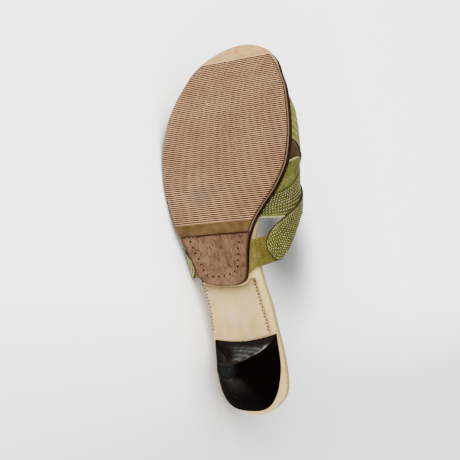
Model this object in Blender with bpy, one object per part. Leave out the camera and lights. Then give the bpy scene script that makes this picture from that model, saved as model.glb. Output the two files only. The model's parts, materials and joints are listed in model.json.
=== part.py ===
"""Right open-toe mule: kitten heel, stitched leather outsole with a ribbed half sole, crossed strap upper.

The shoe is drawn standing: x runs from the back of the heel to the toe, y to the inner (medial) side of
the foot, z up from the floor.  A last, the form that the foot fills, carries every strap of the upper.
The finished shoe is then laid on its outer side, on the flat that its sole edge and its straps share.
All tables are in millimetres and MM turns them to metres.
"""
import bpy
import bmesh
import numpy as np
from mathutils import Matrix, Vector

MM = 0.001

# ---- driving dimensions, mm ----------------------------------------------------------------------
GAP = 0.3               # air between pieces that touch
PITCH = 6.0             # distance between sections of the sole's layers
ROUND_STEPS = 6         # sections that turn a rounded end
RUBBER = 1.8            # half sole
OUTSOLE = 5.0           # leather outsole at the forefoot
TONGUE = 2.2            # the same leather, skived at its back end
INSOLE_FRONT = 3.6      # insole at the ball
INSOLE_REAR = 6.0       # insole and its wrapped edge at waist and heel
RIM = 3.0               # outsole showing around the insole at the forefoot
RUBBER_INSET = 1.3      # half sole inside the outsole's edge
LIFT = 4.6              # top lift
COVER = 1.2             # waist cover
WALL = 1.7              # strap leather with its lining
STEP = 1.4              # rise of a strap where it lies on another
UNDER_OUTER_LEAF = 0.5  # the leaves' undersides stand this far off the last, inside the straps they cross
UNDER_INNER_LEAF = 0.85

TOE_X = 250.5           # toe tip of the outsole
TONGUE_X = 88.0         # back end of the outsole's tongue
RUBBER_X = (122.5, 238.5)
COVER_FRONT_X = 93.5    # how far the waist cover reaches beside the tongue's round end
COVER_SLACK = 2.0       # the cover clears the tongue this far to either side too
SEAT_BACK_X = 2.3

BALL_FLAT = (156.0, 192.0)      # the sole touches the floor between these
BED_EASE = 14.0                 # length over which the waist's slope dies out into that flat
TOE_SPRING = 8.0                # rise of the sole at the toe tip
SPRING_POWER = 2.05
BED_BALL = RUBBER + GAP + OUTSOLE + GAP

# underside of the insole behind the ball: x, height
BED = ((0, 42.0), (20, 40.4), (50, 36.4), (80, 28.2), (105, 19.2), (130, 11.4), (BALL_FLAT[0], BED_BALL))

# outsole outline before its ends are rounded: x, outer side, inner side
SOLE = ((TONGUE_X, -27.6, 6.0), (99, -31.3, 8.2), (117, -36.8, 12.0), (128, -40.2, 17.2),
        (139, -43.3, 25.2), (150, -45.8, 34.3), (162, -47.6, 40.8), (175, -48.0, 43.8),
        (188, -46.9, 44.6), (202, -43.6, 43.8), (216, -37.4, 41.7), (231, -28.6, 36.6),
        (TOE_X, -17.6, 33.5))

# insole outline at heel and waist, before its ends are rounded: x, outer side, inner side
INSOLE_BACK = ((0, -20.5, 25.5), (25, -22.0, 27.4), (45, -24.6, 25.2), (61, -25.3, 22.3),
               (76, -25.8, 20.2), (90, -27.0, 17.2), (105, -30.8, 15.4), (120, -34.9, 15.3))
INSOLE = INSOLE_BACK + tuple((x, a + RIM, b - RIM) for x, a, b in SOLE if x > 130)

# waist cover outline: x, outer side, inner side
COVER_SIDES = ((50, -24.3, 18.6), (59, -24.5, 17.4), (82, -26.2, 13.1), (100, -31.0, 10.3))

# the last: x, outer bulge, its height over the bed, how upright the side stays above it,
# inner bulge, its height, crest offset, crest height
LAST = ((80, -30.5, 5, 0.50, 28.0, 24, 4, 68), (95, -33.8, 5, 0.45, 30.5, 24, 4, 66),
        (112, -36.0, 4, 0.45, 33.0, 23, 4, 63), (127, -37.8, 3, 0.68, 35.2, 22, 4, 59),
        (143, -41.6, 3, 0.95, 38.6, 20, 4, 55), (165, -44.4, 5, 0.98, 41.3, 16, 3, 47),
        (184, -43.4, 4, 0.90, 42.4, 12, 2, 39), (202, -40.0, 2, 0.60, 41.2, 9, 2, 32),
        (220, -31.6, 2, 0.55, 37.4, 8, 2, 26))
INNER_FULLNESS = 0.55   # the same for the inner side
CREST_FULLNESS = 0.55

# straps over the last: place round the last (1 inner sole edge, 0 crest, -1 outer sole edge), back x, front x
INSTEP_BAND = ((1.0, 132, 167), (0.8, 133, 170.5), (0.6, 137, 173), (0.3, 143, 173.4), (0, 146, 173),
               (-0.4, 144, 171.5), (-0.7, 139, 168), (-1.0, 133, 163))
OUTER_LEAF_BAND = ((1.0, 179, 212), (0.85, 177, 206.5), (0.7, 173.5, 200), (0.4, 163.5, 187), (0, 148, 172),
                   (-0.4, 130, 156), (-0.7, 108, 136), (-0.85, 94, 121), (-0.99, 91, 112))
INNER_LEAF_BAND = ((-1.0, 172, 200), (-0.8, 171, 199), (-0.5, 167, 194), (0, 152, 180), (0.3, 143, 169),
                   (0.6, 128, 151), (0.7, 117, 142.5), (0.78, 109, 135), (0.84, 105.5, 129),
                   (0.9, 107, 124.5))
LEAF_ROUND = 6.0        # length of the rounding at a leaf's end

# the stays that carry the leaf ends: the outer one stands on the sole's rim like the other straps, the
# inner one is lasted under the insole: back x and front x at the sole, then at its end under the leaf
OUTER_STAY = ((-1.0, 94, 110), (-0.8, 97, 114))
INNER_STAY = ((95.8, 117.0), (106.0, 124.0))
STAY_TOP = 0.8

# heel sections: height from the lift (0) to the seat (1), back x, front x at the outer side,
# front x at the inner side, outer half width, inner half width
HEEL = ((0.00, 26.8, 37.2, 37.4, 6.4, 6.4), (0.15, 26.6, 37.5, 37.9, 6.5, 6.5),
        (0.35, 24.9, 38.4, 39.2, 7.6, 7.7), (0.60, 20.0, 40.2, 42.0, 11.3, 11.2),
        (0.80, 13.0, 43.5, 46.6, 17.2, 17.2), (0.92, 6.4, 47.6, 52.2, 22.0, 21.8),
        (1.00, SEAT_BACK_X, 51.5, 57.0, 24.3, 24.6))
BREAST_HOLLOW = 1.6     # how far the breast is hollowed between its corners
HEEL_SQUARENESS = 2.5
HEEL_STATIONS = (0.0, 0.1, 0.22, 0.35, 0.48, 0.6, 0.7, 0.8, 0.87, 0.93, 0.97, 1.0)


# ---- curves ----------------------------------------------------------------------------------------
def smooth(table, column, x):
    """Cubic through one column of a table, its slopes the mean slopes at each row."""
    rows = np.array(sorted(table), dtype=float)
    keys, values = rows[:, 0], rows[:, column]
    slopes = np.gradient(values, keys)
    x = np.clip(np.asarray(x, dtype=float), keys[0], keys[-1])
    i = np.clip(np.searchsorted(keys, x, side="right") - 1, 0, len(keys) - 2)
    step = keys[i + 1] - keys[i]
    t = (x - keys[i]) / step
    start = (1 + 2 * t) * (1 - t) ** 2 * values[i] + t * (1 - t) ** 2 * step * slopes[i]
    end = t * t * (3 - 2 * t) * values[i + 1] + t * t * (t - 1) * step * slopes[i + 1]
    return start + end


def bed(x):
    """Height of the insole's underside: flat at the ball, up to the heel seat, up to the toe."""
    x = np.asarray(x, dtype=float)
    spring = np.maximum(x - BALL_FLAT[1], 0) / (TOE_X - BALL_FLAT[1])
    front = BED_BALL + TOE_SPRING * spring ** SPRING_POWER
    ease = np.clip((BALL_FLAT[0] - x) / BED_EASE, 0, 1)
    back = BED_BALL + (smooth(BED, 1, x) - BED_BALL) * ease * (2 - ease)
    return np.where(x < BALL_FLAT[0], back, front)


def round_end(distance, radius, squareness):
    """Share of the full width at a distance from an end that is rounded over a radius."""
    inside = np.clip(1 - distance / radius, 0, 1)
    return (1 - inside ** squareness) ** (1 / squareness)


def sides(table, x, back_end=None, front_end=None, inset=0.0):
    """Outer and inner y of an outline; each end is (x, radius, squareness)."""
    outer, inner = smooth(table, 1, x) + inset, smooth(table, 2, x) - inset
    middle, half = (outer + inner) / 2, (inner - outer) / 2
    if back_end:
        half = half * round_end(x - back_end[0], back_end[1], back_end[2])
    if front_end:
        half = half * round_end(front_end[0] - x, front_end[1], front_end[2])
    return middle - half, middle + half


def stations(start, stop, back_radius=0.0, front_radius=0.0):
    """Places along the shoe: a pitch that all layers share, and closer ones where an end is rounded."""
    shared = np.arange(0.0, TOE_X, PITCH)
    shared = shared[(shared > start + back_radius + 1) & (shared < stop - front_radius - 1)]
    turn = 1 - np.cos(np.linspace(0, np.pi / 2, ROUND_STEPS + 1))
    back = start + back_radius * turn if back_radius else np.array([start])
    front = stop - front_radius * turn[::-1] if front_radius else np.array([stop])
    return np.concatenate([back, shared, front])


# ---- meshes ----------------------------------------------------------------------------------------
def loft(rings):
    """Closed mesh through an array of rings (ring, point, xyz), capped at both ends."""
    rings = np.asarray(rings)
    count, points, _ = rings.shape
    faces = []
    for i in range(count - 1):
        for j in range(points):
            k = (j + 1) % points
            faces.append((i * points + j, i * points + k, (i + 1) * points + k, (i + 1) * points + j))
    faces.append(tuple(range(points - 1, -1, -1)))
    faces.append(tuple(range((count - 1) * points, count * points)))
    return rings.reshape(-1, 3), faces


def shell(inner, outer):
    """Closed wall between two grids (row, column, xyz) of the same shape."""
    ring = np.concatenate([inner, outer[:, ::-1]], axis=1)
    return loft(ring)


def make_object(name, points, faces, material, parent):
    """One mesh object in millimetre points, its faces turned outwards."""
    mesh = bpy.data.meshes.new(name)
    mesh.from_pydata((np.asarray(points) * MM).tolist(), [], faces)
    work = bmesh.new()
    work.from_mesh(mesh)
    bmesh.ops.recalc_face_normals(work, faces=work.faces)
    work.to_mesh(mesh)
    work.free()
    mesh.materials.append(material)
    piece = bpy.data.objects.new(name, mesh)
    bpy.context.scene.collection.objects.link(piece)
    piece.parent = parent
    return piece


def material(name, colour, roughness, metallic=0.0):
    """Principled finish with a plain colour."""
    made = bpy.data.materials.new(name)
    made.use_nodes = True
    shader = made.node_tree.nodes["Principled BSDF"]
    shader.inputs["Base Color"].default_value = (*colour, 1.0)
    shader.inputs["Roughness"].default_value = roughness
    shader.inputs["Metallic"].default_value = metallic
    return made


def plate(x, outer, inner, low, high, columns=4, low_bevel=0.0, high_bevel=0.0):
    """Rings of a layer of the sole: across its underside, then back across its top."""
    across = np.linspace(0, 1, columns + 1)[None, :]

    def row(height, inset):
        a, b = (outer + inset)[:, None], (inner - inset)[:, None]
        y = a + (b - a) * across
        return np.stack(np.broadcast_arrays(x[:, None], y, height[:, None]), -1)

    def edge(y, height):
        return np.stack([x, y, height], -1)[:, None, :]

    widest = (inner - outer) * 0.3      # no bevel takes more than this share of the width
    under, over = np.minimum(low_bevel, widest), np.minimum(high_bevel, widest)
    parts = [row(low, under)]
    if low_bevel:
        parts.append(edge(inner, low + low_bevel))
    if high_bevel:
        parts.append(edge(inner, high - high_bevel))
    parts.append(row(high, over)[:, ::-1])
    if high_bevel:
        parts.append(edge(outer, high - high_bevel))
    if low_bevel:
        parts.append(edge(outer, low + low_bevel))
    return np.concatenate(parts, axis=1)


# ---- sole pieces -----------------------------------------------------------------------------------
TOE_END = (TOE_X, 20.0, 2.0)
TONGUE_END = (TONGUE_X, 9.0, 3.0)
INSOLE_HEEL_END = (0.0, 20.0, 2.0)
INSOLE_TOE_END = (TOE_X - RIM, 18.5, 2.0)
INSOLE_LOW_BEVEL = 1.0
INSOLE_TOP_BEVEL = 1.2
OUTSOLE_BEVEL = 0.5
END_TRIM = 0.35                 # the first and last ring stand this far in from a rounded end
SKIVE_X = (TONGUE_X, 140.0)     # the outsole thickens between these
INSOLE_THINS_X = (100.0, 160.0) # the insole thins between these


def eased(x, span):
    """0 before a span, 1 after it, smooth between."""
    t = np.clip((x - span[0]) / (span[1] - span[0]), 0, 1)
    return t * t * (3 - 2 * t)


def outsole_thickness(x):
    """Full thickness at the ball, skived to the tongue's back end."""
    return TONGUE + (OUTSOLE - TONGUE) * eased(x, SKIVE_X)


def insole_thickness(x):
    """Thicker behind the ball, where the board and its wrapped edge show."""
    return INSOLE_REAR + (INSOLE_FRONT - INSOLE_REAR) * eased(x, INSOLE_THINS_X)


def outsole_sides(x, inset=0.0):
    return sides(SOLE, x, TONGUE_END, TOE_END, inset)


def insole_sides(x):
    return sides(INSOLE, x, INSOLE_HEEL_END, INSOLE_TOE_END)


def outsole_rings():
    x = stations(TONGUE_X + END_TRIM, TOE_X - END_TRIM, TONGUE_END[1], TOE_END[1])
    outer, inner = outsole_sides(x)
    top = bed(x) - GAP
    return plate(x, outer, inner, top - outsole_thickness(x), top, low_bevel=OUTSOLE_BEVEL)


def rubber_rings():
    x = stations(*RUBBER_X)
    outer, inner = outsole_sides(x, RUBBER_INSET)
    top = bed(x) - GAP - outsole_thickness(x) - GAP
    return plate(x, outer, inner, top - RUBBER, top)


def insole_rings():
    x = stations(END_TRIM, TOE_X - RIM - END_TRIM, INSOLE_HEEL_END[1], INSOLE_TOE_END[1])
    outer, inner = insole_sides(x)
    high = bed(x) + insole_thickness(x)
    return plate(x, outer, inner, bed(x), high, low_bevel=INSOLE_LOW_BEVEL, high_bevel=INSOLE_TOP_BEVEL)


def cover_rings():
    """Cover sheet: straight at the heel breast, hollowed in front to clear the tongue's round end."""
    across = np.linspace(0, 1, 21)
    along = np.linspace(0, 1, 9)
    outer, inner = smooth(COVER_SIDES, 1, TONGUE_X), smooth(COVER_SIDES, 2, TONGUE_X)
    y_front = outer + (inner - outer) * across
    tongue = np.linspace(TONGUE_X + 0.01, COVER_FRONT_X, 200)
    left, right = outsole_sides(tongue)
    reach = np.full(across.shape, COVER_FRONT_X)
    for nudge in (-COVER_SLACK, 0.0, COVER_SLACK):
        y = y_front + nudge
        outer_half = y < (left[0] + right[0]) / 2
        near = np.where(outer_half, np.interp(-y, -left, tongue), np.interp(y, right, tongue))
        reach = np.minimum(reach, near)
    front = reach - 3 * GAP
    outer, inner = smooth(COVER_SIDES, 1, HEEL[-1][2]), smooth(COVER_SIDES, 2, HEEL[-1][3])
    back = breast_at(outer + (inner - outer) * across) + 3 * GAP
    x = back[None, :] + (front - back)[None, :] * along[:, None]
    outer, inner = smooth(COVER_SIDES, 1, x), smooth(COVER_SIDES, 2, x)
    y = outer + (inner - outer) * across[None, :]
    top = np.stack([x, y, bed(x) - GAP], -1)
    under = np.stack([x, y, bed(x) - GAP - COVER], -1)
    return np.concatenate([under, top[:, ::-1]], axis=1)


# ---- heel ------------------------------------------------------------------------------------------
def breast_at(y):
    """x of the breast at the seat, at a distance across the shoe."""
    _, _, outer_x, inner_x, outer_w, inner_w = HEEL[-1]
    across = (y + outer_w) / (outer_w + inner_w)
    hollow = BREAST_HOLLOW * 4 * across * (1 - across)
    return outer_x + (inner_x - outer_x) * across - hollow


def heel_outline(t, count=28, breast=9):
    """Plan of the heel at a height: round the back, then along the breast."""
    back, outer_x, inner_x, outer_w, inner_w = (float(smooth(HEEL, c, t)) for c in range(1, 6))
    angle = np.linspace(0, np.pi, count)
    side, depth = np.cos(angle), np.sin(angle)
    y = np.sign(side) * np.abs(side) ** (2 / HEEL_SQUARENESS)
    run = depth ** (2 / HEEL_SQUARENESS)
    front = outer_x + (inner_x - outer_x) * (1 + y) / 2
    x = front - (front - back) * run
    y = np.where(y > 0, y * inner_w, y * outer_w)
    across = np.linspace(0, 1, breast)[1:-1]
    breast_x = outer_x + (inner_x - outer_x) * across
    breast_x = breast_x - BREAST_HOLLOW * (0.35 + 0.65 * t) * 4 * across * (1 - across)
    breast_y = -outer_w + (inner_w + outer_w) * across
    return np.concatenate([x, breast_x]), np.concatenate([y, breast_y])


def heel_rings():
    rings = []
    for t in HEEL_STATIONS:
        x, y = heel_outline(t)
        low = LIFT + GAP
        z = low + t * (bed(x) - GAP - low)
        rings.append(np.stack([x, y, z], -1))
    return np.array(rings)


def lift_rings():
    x, y = heel_outline(0.0)
    return np.array([np.stack([x, y, np.full_like(x, z)], -1) for z in (0.0, LIFT)])


# ---- last and upper --------------------------------------------------------------------------------
HALF_POINTS = 60        # points along half a section of the last
HALF_GIRTH = 75.0       # length of half a section at the instep
LOWER_SHARE = 0.45      # how steeply a section leaves the sole
RAMP = (-4.5, -0.5)     # a strap rises onto another between these distances, inside being positive
END_MARGIN = 3.0        # and this much further out at the other strap's end
HEART = (2.0, 14.0)     # middle of the foot: y, height over the bed


def half_section(x, inner_side):
    """Half a section of the last, from sole edge over the bulge to the crest, by equal lengths."""
    sign = 1.0 if inner_side else -1.0
    outer, inner = insole_sides(x)
    foot = (inner if inner_side else outer) + sign * GAP
    bulge = smooth(LAST, 4 if inner_side else 1, x)
    bulge = np.where(sign * (bulge - foot) < 0, foot, bulge)
    rise = smooth(LAST, 5 if inner_side else 2, x)
    centre, top = smooth(LAST, 6, x), smooth(LAST, 7, x)
    full = INNER_FULLNESS if inner_side else smooth(LAST, 3, x)[:, None]
    t = np.linspace(0, 1, HALF_POINTS)[None, :]
    foot, bulge, rise, centre, top = (np.asarray(v)[:, None] for v in (foot, bulge, rise, centre, top))
    low_y = (1 - t) ** 2 * foot + 2 * t * (1 - t) * bulge + t * t * bulge
    low_z = 2 * t * (1 - t) * LOWER_SHARE * rise + t * t * rise
    u = t[:, 1:]
    wide, tall = bulge - centre, top - rise
    high_y = centre + wide * ((1 - u) ** 3 + 3 * u * (1 - u) ** 2 + 3 * CREST_FULLNESS * u * u * (1 - u))
    high_z = rise + tall * (3 * full * u * (1 - u) ** 2 + 3 * u * u * (1 - u) + u ** 3)
    y = np.concatenate([low_y, high_y], axis=1)
    z = np.concatenate([low_z, high_z], axis=1) + bed(x)[:, None]
    return y, z


def last_point(x, place):
    """Points of the last at x and place (1 inner sole edge, 0 crest, -1 outer sole edge)."""
    x, place = np.broadcast_arrays(np.asarray(x, dtype=float), np.asarray(place, dtype=float))
    flat_x, flat_place = x.ravel(), place.ravel()
    found = np.zeros((flat_x.size, 3))
    for inner_side in (True, False):
        chosen = flat_place >= 0 if inner_side else flat_place < 0
        if not chosen.any():
            continue
        y, z = half_section(flat_x[chosen], inner_side)
        steps = np.hypot(np.diff(y), np.diff(z))
        length = np.concatenate([np.zeros((len(y), 1)), np.cumsum(steps, axis=1)], axis=1)
        wanted = (1 - np.abs(flat_place[chosen])) * length[:, -1]
        found[chosen, 0] = flat_x[chosen]
        found[chosen, 1] = [np.interp(w, l, v) for w, l, v in zip(wanted, length, y)]
        found[chosen, 2] = [np.interp(w, l, v) for w, l, v in zip(wanted, length, z)]
    return found.reshape(x.shape + (3,))


def grid_normals(points):
    """Unit normals of a grid of points, turned away from the middle of the foot."""
    along, across = np.gradient(points, axis=0), np.gradient(points, axis=1)
    normal = np.cross(along, across)
    normal /= np.linalg.norm(normal, axis=-1, keepdims=True)
    x = points[..., 0]
    heart = np.stack([x, np.full(x.shape, HEART[0]), bed(x) + HEART[1]], -1)
    turn = np.sign(np.sum(normal * (points - heart), axis=-1, keepdims=True))
    return normal * turn


def cover_of(table, x, place):
    """1 where a strap covers a place on the last or nearly so, easing to 0 a little way outside it."""
    back, front = smooth(table, 1, place), smooth(table, 2, place)
    inside = np.minimum(x - back, front - x)
    ends = np.array([row[0] for row in table])
    within = np.minimum(place - ends.min(), ends.max() - place) * HALF_GIRTH
    return eased(np.minimum(inside, within + END_MARGIN), RAMP)


def inner_stay_table():
    """The inner stay's part on the last, as rows like the other straps'."""
    (back, front), (top_back, top_front) = INNER_STAY
    return (STAY_TOP, top_back, top_front), (1.0, back, front)


def strap_shell(table, rows, columns, leaf_end=False, under=0.0, lies_on=None, layers=1):
    """Wall of one strap: a grid between its two edges, from its underside to its outer face.

    lies_on(x, place) counts the straps underneath, up to layers; the outer face rises over them.
    """
    ends = [row[0] for row in table]
    place = np.linspace(ends[0], ends[-1], rows)
    if leaf_end:
        turn = np.cos(np.linspace(0, np.pi / 2, ROUND_STEPS + 1))
        reach = LEAF_ROUND / HALF_GIRTH * np.sign(ends[-1] - ends[0])
        place = np.concatenate([np.linspace(ends[0], ends[-1] - reach, rows)[:-1], ends[-1] - reach * turn])
    back, front = smooth(table, 1, place), smooth(table, 2, place)
    if leaf_end:
        share = round_end(np.abs(place - ends[-1]) * HALF_GIRTH + END_TRIM, LEAF_ROUND, 2.0)
        middle, half = (back + front) / 2, (front - back) / 2 * share
        back, front = middle - half, middle + half
    across = np.linspace(0, 1, columns + 1)[None, :]
    x = back[:, None] + (front - back)[:, None] * across
    place = np.broadcast_to(place[:, None], x.shape)
    base = last_point(x, place)
    normal = grid_normals(base)
    rise = np.full(x.shape, under)
    if lies_on:
        rise = rise + (STEP - under / layers) * lies_on(x, place)
    inner, outer = base + normal * under, base + normal * (rise + WALL)[..., None]
    floor = bed(x) + GAP / 2
    for grid in (inner, outer):
        grid[..., 2] = np.maximum(grid[..., 2], floor)
    return shell(inner, outer)


def inner_stay_shell(rows=8, columns=4):
    """The inner stay: from the tongue's edge, under and round the insole's edge, and up the last."""
    across = np.linspace(0, 1, columns + 1)
    (back, front), (top_back, top_front) = INNER_STAY
    x = back + (front - back) * across
    insole, tongue = insole_sides(x)[1], outsole_sides(x)[1]
    corner = insole - INSOLE_LOW_BEVEL
    start = np.minimum(tongue + 2 * GAP, corner - 1)
    sheets = [(start, bed(x) - GAP), ((start + corner) / 2, bed(x) - GAP), (corner, bed(x) - GAP),
              (insole + GAP, bed(x) + INSOLE_LOW_BEVEL)]
    sheets = [np.stack([x, y, z], -1) for y, z in sheets]
    for share in np.linspace(0.08, 1, rows):     # the first row clears the insole's corner
        x = back + (top_back - back) * share
        x = x + (front + (top_front - front) * share - x) * across
        sheets.append(last_point(x, 1 - (1 - STAY_TOP) * share))
    inner = np.array(sheets)
    return shell(inner, inner + grid_normals(inner) * WALL)


def under_outer_leaf(x, place):
    """The outer leaf lies on the instep band, and its end on the outer stay."""
    return np.maximum(cover_of(INSTEP_BAND, x, place), cover_of(OUTER_STAY, x, place))


def under_inner_leaf(x, place):
    """The inner leaf lies on both, and its end on the inner stay."""
    first = np.maximum(cover_of(INSTEP_BAND, x, place), cover_of(inner_stay_table(), x, place))
    return first + cover_of(OUTER_LEAF_BAND, x, place)


def join(target, others):
    """Union of the straps into one body, each Boolean applied in turn."""
    for other in others:
        union = target.modifiers.new("join", "BOOLEAN")
        union.operation = "UNION"
        union.solver = "EXACT"
        union.object = other
        view = bpy.context.evaluated_depsgraph_get()
        joined = bpy.data.meshes.new_from_object(target.evaluated_get(view))
        target.modifiers.clear()
        target.data = joined
        bpy.data.objects.remove(other)


# ---- the lie of the shoe -----------------------------------------------------------------------------
def resting_turn(pieces):
    """Turn that lays the shoe on its outer side: the flat of its hull that the weight falls inside."""
    weight, centre = 0.0, Vector((0, 0, 0))
    hull = bmesh.new()
    for piece in pieces:
        body = bmesh.new()
        body.from_mesh(piece.data)
        volume = body.calc_volume()
        bmesh.ops.triangulate(body, faces=body.faces)
        moment = Vector((0, 0, 0))
        for face in body.faces:
            a, b, c = (v.co for v in face.verts)
            moment += (a + b + c) / 4 * a.dot(b.cross(c)) / 6
        weight += volume
        centre += moment
        body.free()
        for v in piece.data.vertices:
            hull.verts.new(v.co)
    centre /= weight
    bmesh.ops.convex_hull(hull, input=hull.verts, use_existing_faces=False)
    best, best_down = None, 0.0
    for face in hull.faces:
        normal = face.normal
        if normal.dot(face.calc_center_median() - centre) < 0:
            normal = -normal
        a, b, c = (v.co for v in face.verts[:3])
        foot = centre + normal * normal.dot(a - centre)
        signs = [normal.dot((q - p).cross(foot - p)) for p, q in ((a, b), (b, c), (c, a))]
        if not (all(s >= 0 for s in signs) or all(s <= 0 for s in signs)):
            continue
        if -normal.y > best_down:
            best, best_down = normal.copy(), -normal.y
    hull.free()
    up = -best
    toe = Vector((1, 0, 0))
    toe = (toe - up * toe.dot(up)).normalized()
    row_x, row_z = -toe, up
    row_y = row_z.cross(row_x)
    return Matrix((row_x, row_y, row_z)).to_4x4()


def main():
    for thing in list(bpy.data.objects):
        bpy.data.objects.remove(thing)
    leather_brown = material("outsole_leather", (0.33, 0.19, 0.12), 0.6)
    rubber_tan = material("ribbed_rubber", (0.52, 0.33, 0.19), 0.75)
    leather_cream = material("insole_leather", (0.72, 0.62, 0.47), 0.55)
    cover_cream = material("waist_leather", (0.70, 0.59, 0.45), 0.5)
    heel_black = material("heel_lacquer", (0.006, 0.004, 0.004), 0.15)
    lift_dark = material("lift_rubber", (0.008, 0.016, 0.016), 0.5)
    upper_green = material("upper_leather", (0.25, 0.29, 0.06), 0.45)

    pose = bpy.data.objects.new("shoe", None)
    bpy.context.scene.collection.objects.link(pose)
    pieces = [
        make_object("outsole", *loft(outsole_rings()), leather_brown, pose),
        make_object("forefoot_rubber", *loft(rubber_rings()), rubber_tan, pose),
        make_object("insole", *loft(insole_rings()), leather_cream, pose),
        make_object("waist_cover", *loft(cover_rings()), cover_cream, pose),
        make_object("heel", *loft(heel_rings()), heel_black, pose),
        make_object("top_lift", *loft(lift_rings()), lift_dark, pose),
    ]
    outer_leaf = strap_shell(OUTER_LEAF_BAND, 44, 6, True, UNDER_OUTER_LEAF, under_outer_leaf)
    inner_leaf = strap_shell(INNER_LEAF_BAND, 44, 6, True, UNDER_INNER_LEAF, under_inner_leaf, 2)
    upper = make_object("upper", *strap_shell(INSTEP_BAND, 34, 6), upper_green, pose)
    straps = [
        make_object("outer_leaf", *outer_leaf, upper_green, pose),
        make_object("inner_leaf", *inner_leaf, upper_green, pose),
        make_object("inner_stay", *inner_stay_shell(), upper_green, pose),
        make_object("outer_stay", *strap_shell(OUTER_STAY, 8, 4), upper_green, pose),
    ]
    join(upper, straps)
    pieces.append(upper)

    turn = resting_turn(pieces)
    points = [turn @ v.co for piece in pieces for v in piece.data.vertices]
    low = Vector([min(p[i] for p in points) for i in range(3)])
    high = Vector([max(p[i] for p in points) for i in range(3)])
    shift = Vector((-(low.x + high.x) / 2, -(low.y + high.y) / 2, -low.z))
    pose.matrix_world = Matrix.Translation(shift) @ turn


main()
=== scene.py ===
# %% [markdown]
# # An open-toe mule lying on its side
#
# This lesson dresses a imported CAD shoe.  The CAD solids fix every size; here each of them is replaced by a
# finer surface with the same form, and the things that a solid model leaves out are added: the ribs of the
# half sole, the raised rows and stitches of the straps, scuffs, creases and finishes.
#
# The shoe is right-footed.  It lies on its outer side, so the sole faces -Y of the frame and the inner side
# of the foot is on top.

# %% Load the frame
import json
import math

import bpy
import numpy as np
from mathutils import Matrix, Vector


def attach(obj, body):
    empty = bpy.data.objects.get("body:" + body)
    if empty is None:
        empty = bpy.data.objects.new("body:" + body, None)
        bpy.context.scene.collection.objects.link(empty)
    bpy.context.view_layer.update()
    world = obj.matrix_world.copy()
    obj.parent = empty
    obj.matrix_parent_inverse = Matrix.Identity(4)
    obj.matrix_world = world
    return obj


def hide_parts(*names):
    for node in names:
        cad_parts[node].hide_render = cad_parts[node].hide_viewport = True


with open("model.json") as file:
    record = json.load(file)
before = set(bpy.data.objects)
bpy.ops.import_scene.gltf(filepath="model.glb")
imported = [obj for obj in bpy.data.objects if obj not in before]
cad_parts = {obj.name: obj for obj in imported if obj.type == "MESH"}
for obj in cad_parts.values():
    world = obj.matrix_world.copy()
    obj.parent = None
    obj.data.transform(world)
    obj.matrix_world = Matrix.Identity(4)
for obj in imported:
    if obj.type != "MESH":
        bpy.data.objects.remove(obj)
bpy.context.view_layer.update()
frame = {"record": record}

MM = 0.001

# %% [markdown]
# ## The standing shoe
#
# A shoe is easiest to describe while it stands: x from the back of the heel to the toe, y towards the inner
# side of the foot, z up.  The record's two mounts are points of the tread whose standing places are known,
# and their shared axis is the standing shoe's "down", so they say how the shoe lies.  Everything below is
# worked out in standing millimetres and turned at the last moment.

# %% Where the standing axes point in the frame
def unit(vectors):
    """Vectors divided by their own lengths."""
    return vectors / np.linalg.norm(vectors, axis=-1, keepdims=True)


HEEL_REST = (32.0, 0.0, 0.0)
FOREFOOT_REST = (174.0, -2.0, 0.0)
mounts = {m["name"]: m for m in frame["record"]["mounts"]}
heel_point = np.array(mounts["heel_rest"]["pos_m"])
fore_point = np.array(mounts["forefoot_rest"]["pos_m"])
up = unit(-np.array(mounts["heel_rest"]["axis"]))
run = fore_point - heel_point
run = unit(run - up * (run @ up))
turn = math.atan2(FOREFOOT_REST[1] - HEEL_REST[1], FOREFOOT_REST[0] - HEEL_REST[0])
side = np.cross(up, run)
toe_way = math.cos(turn) * run - math.sin(turn) * side
inner_way = math.sin(turn) * run + math.cos(turn) * side
AXES = np.stack([toe_way, inner_way, up], axis=1)
ORIGIN = heel_point - AXES @ np.array(HEEL_REST) * MM
print("standing axes in the frame:\n", AXES.round(4))


def placed(points):
    """Standing millimetre points as metres in the frame."""
    return np.asarray(points) @ AXES.T * MM + ORIGIN


# %% [markdown]
# ## Curves of the last
#
# A shoe is built on a last, a solid foot that the leather is pulled over.  It could be sculpted by hand, but
# a few tables say it with sizes that can be checked: the bed that the foot stands on, the outlines of the
# layers, and the last that carries the straps.  They are the CAD part's own, but some strap edges and the
# heel's hollow are moved by a few millimetres, because the finer surface shows them.  A cubic through each
# column gives a value anywhere along the shoe.

# %% Tables in millimetres
GAP = 0.3               # air between pieces that touch
RUBBER = 1.8            # half sole
OUTSOLE, TONGUE = 5.0, 2.2              # thickness at the ball and at the tongue
INSOLE_FRONT, INSOLE_REAR = 3.6, 6.0    # thickness before and behind the ball
RIM = 3.0               # outsole showing around the insole
RUBBER_INSET = 1.3      # outsole showing around the half sole
LIFT = 4.6              # rubber tip of the heel
COVER = 1.2             # waist cover
WALL = 1.7              # strap leather with its lining
STEP = 1.4              # rise of a strap where it lies on another
TOE_X, TONGUE_X = 250.5, 88.0           # front and back end of the outsole
COVER_FRONT_X, COVER_SLACK = 93.5, 2.0  # cover's front, and how freely it rounds the tongue
BALL_FLAT = (156.0, 192.0)              # where the sole is flat
BED_BALL = RUBBER + GAP + OUTSOLE + GAP
BED_EASE, TOE_SPRING, SPRING_POWER = 14.0, 8.0, 2.05    # soft start of the rise to heel and toe

# underside of the insole behind the ball: x, height
BED = ((0, 42.0), (20, 40.4), (50, 36.4), (80, 28.2), (105, 19.2), (130, 11.4), (BALL_FLAT[0], BED_BALL))

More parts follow.
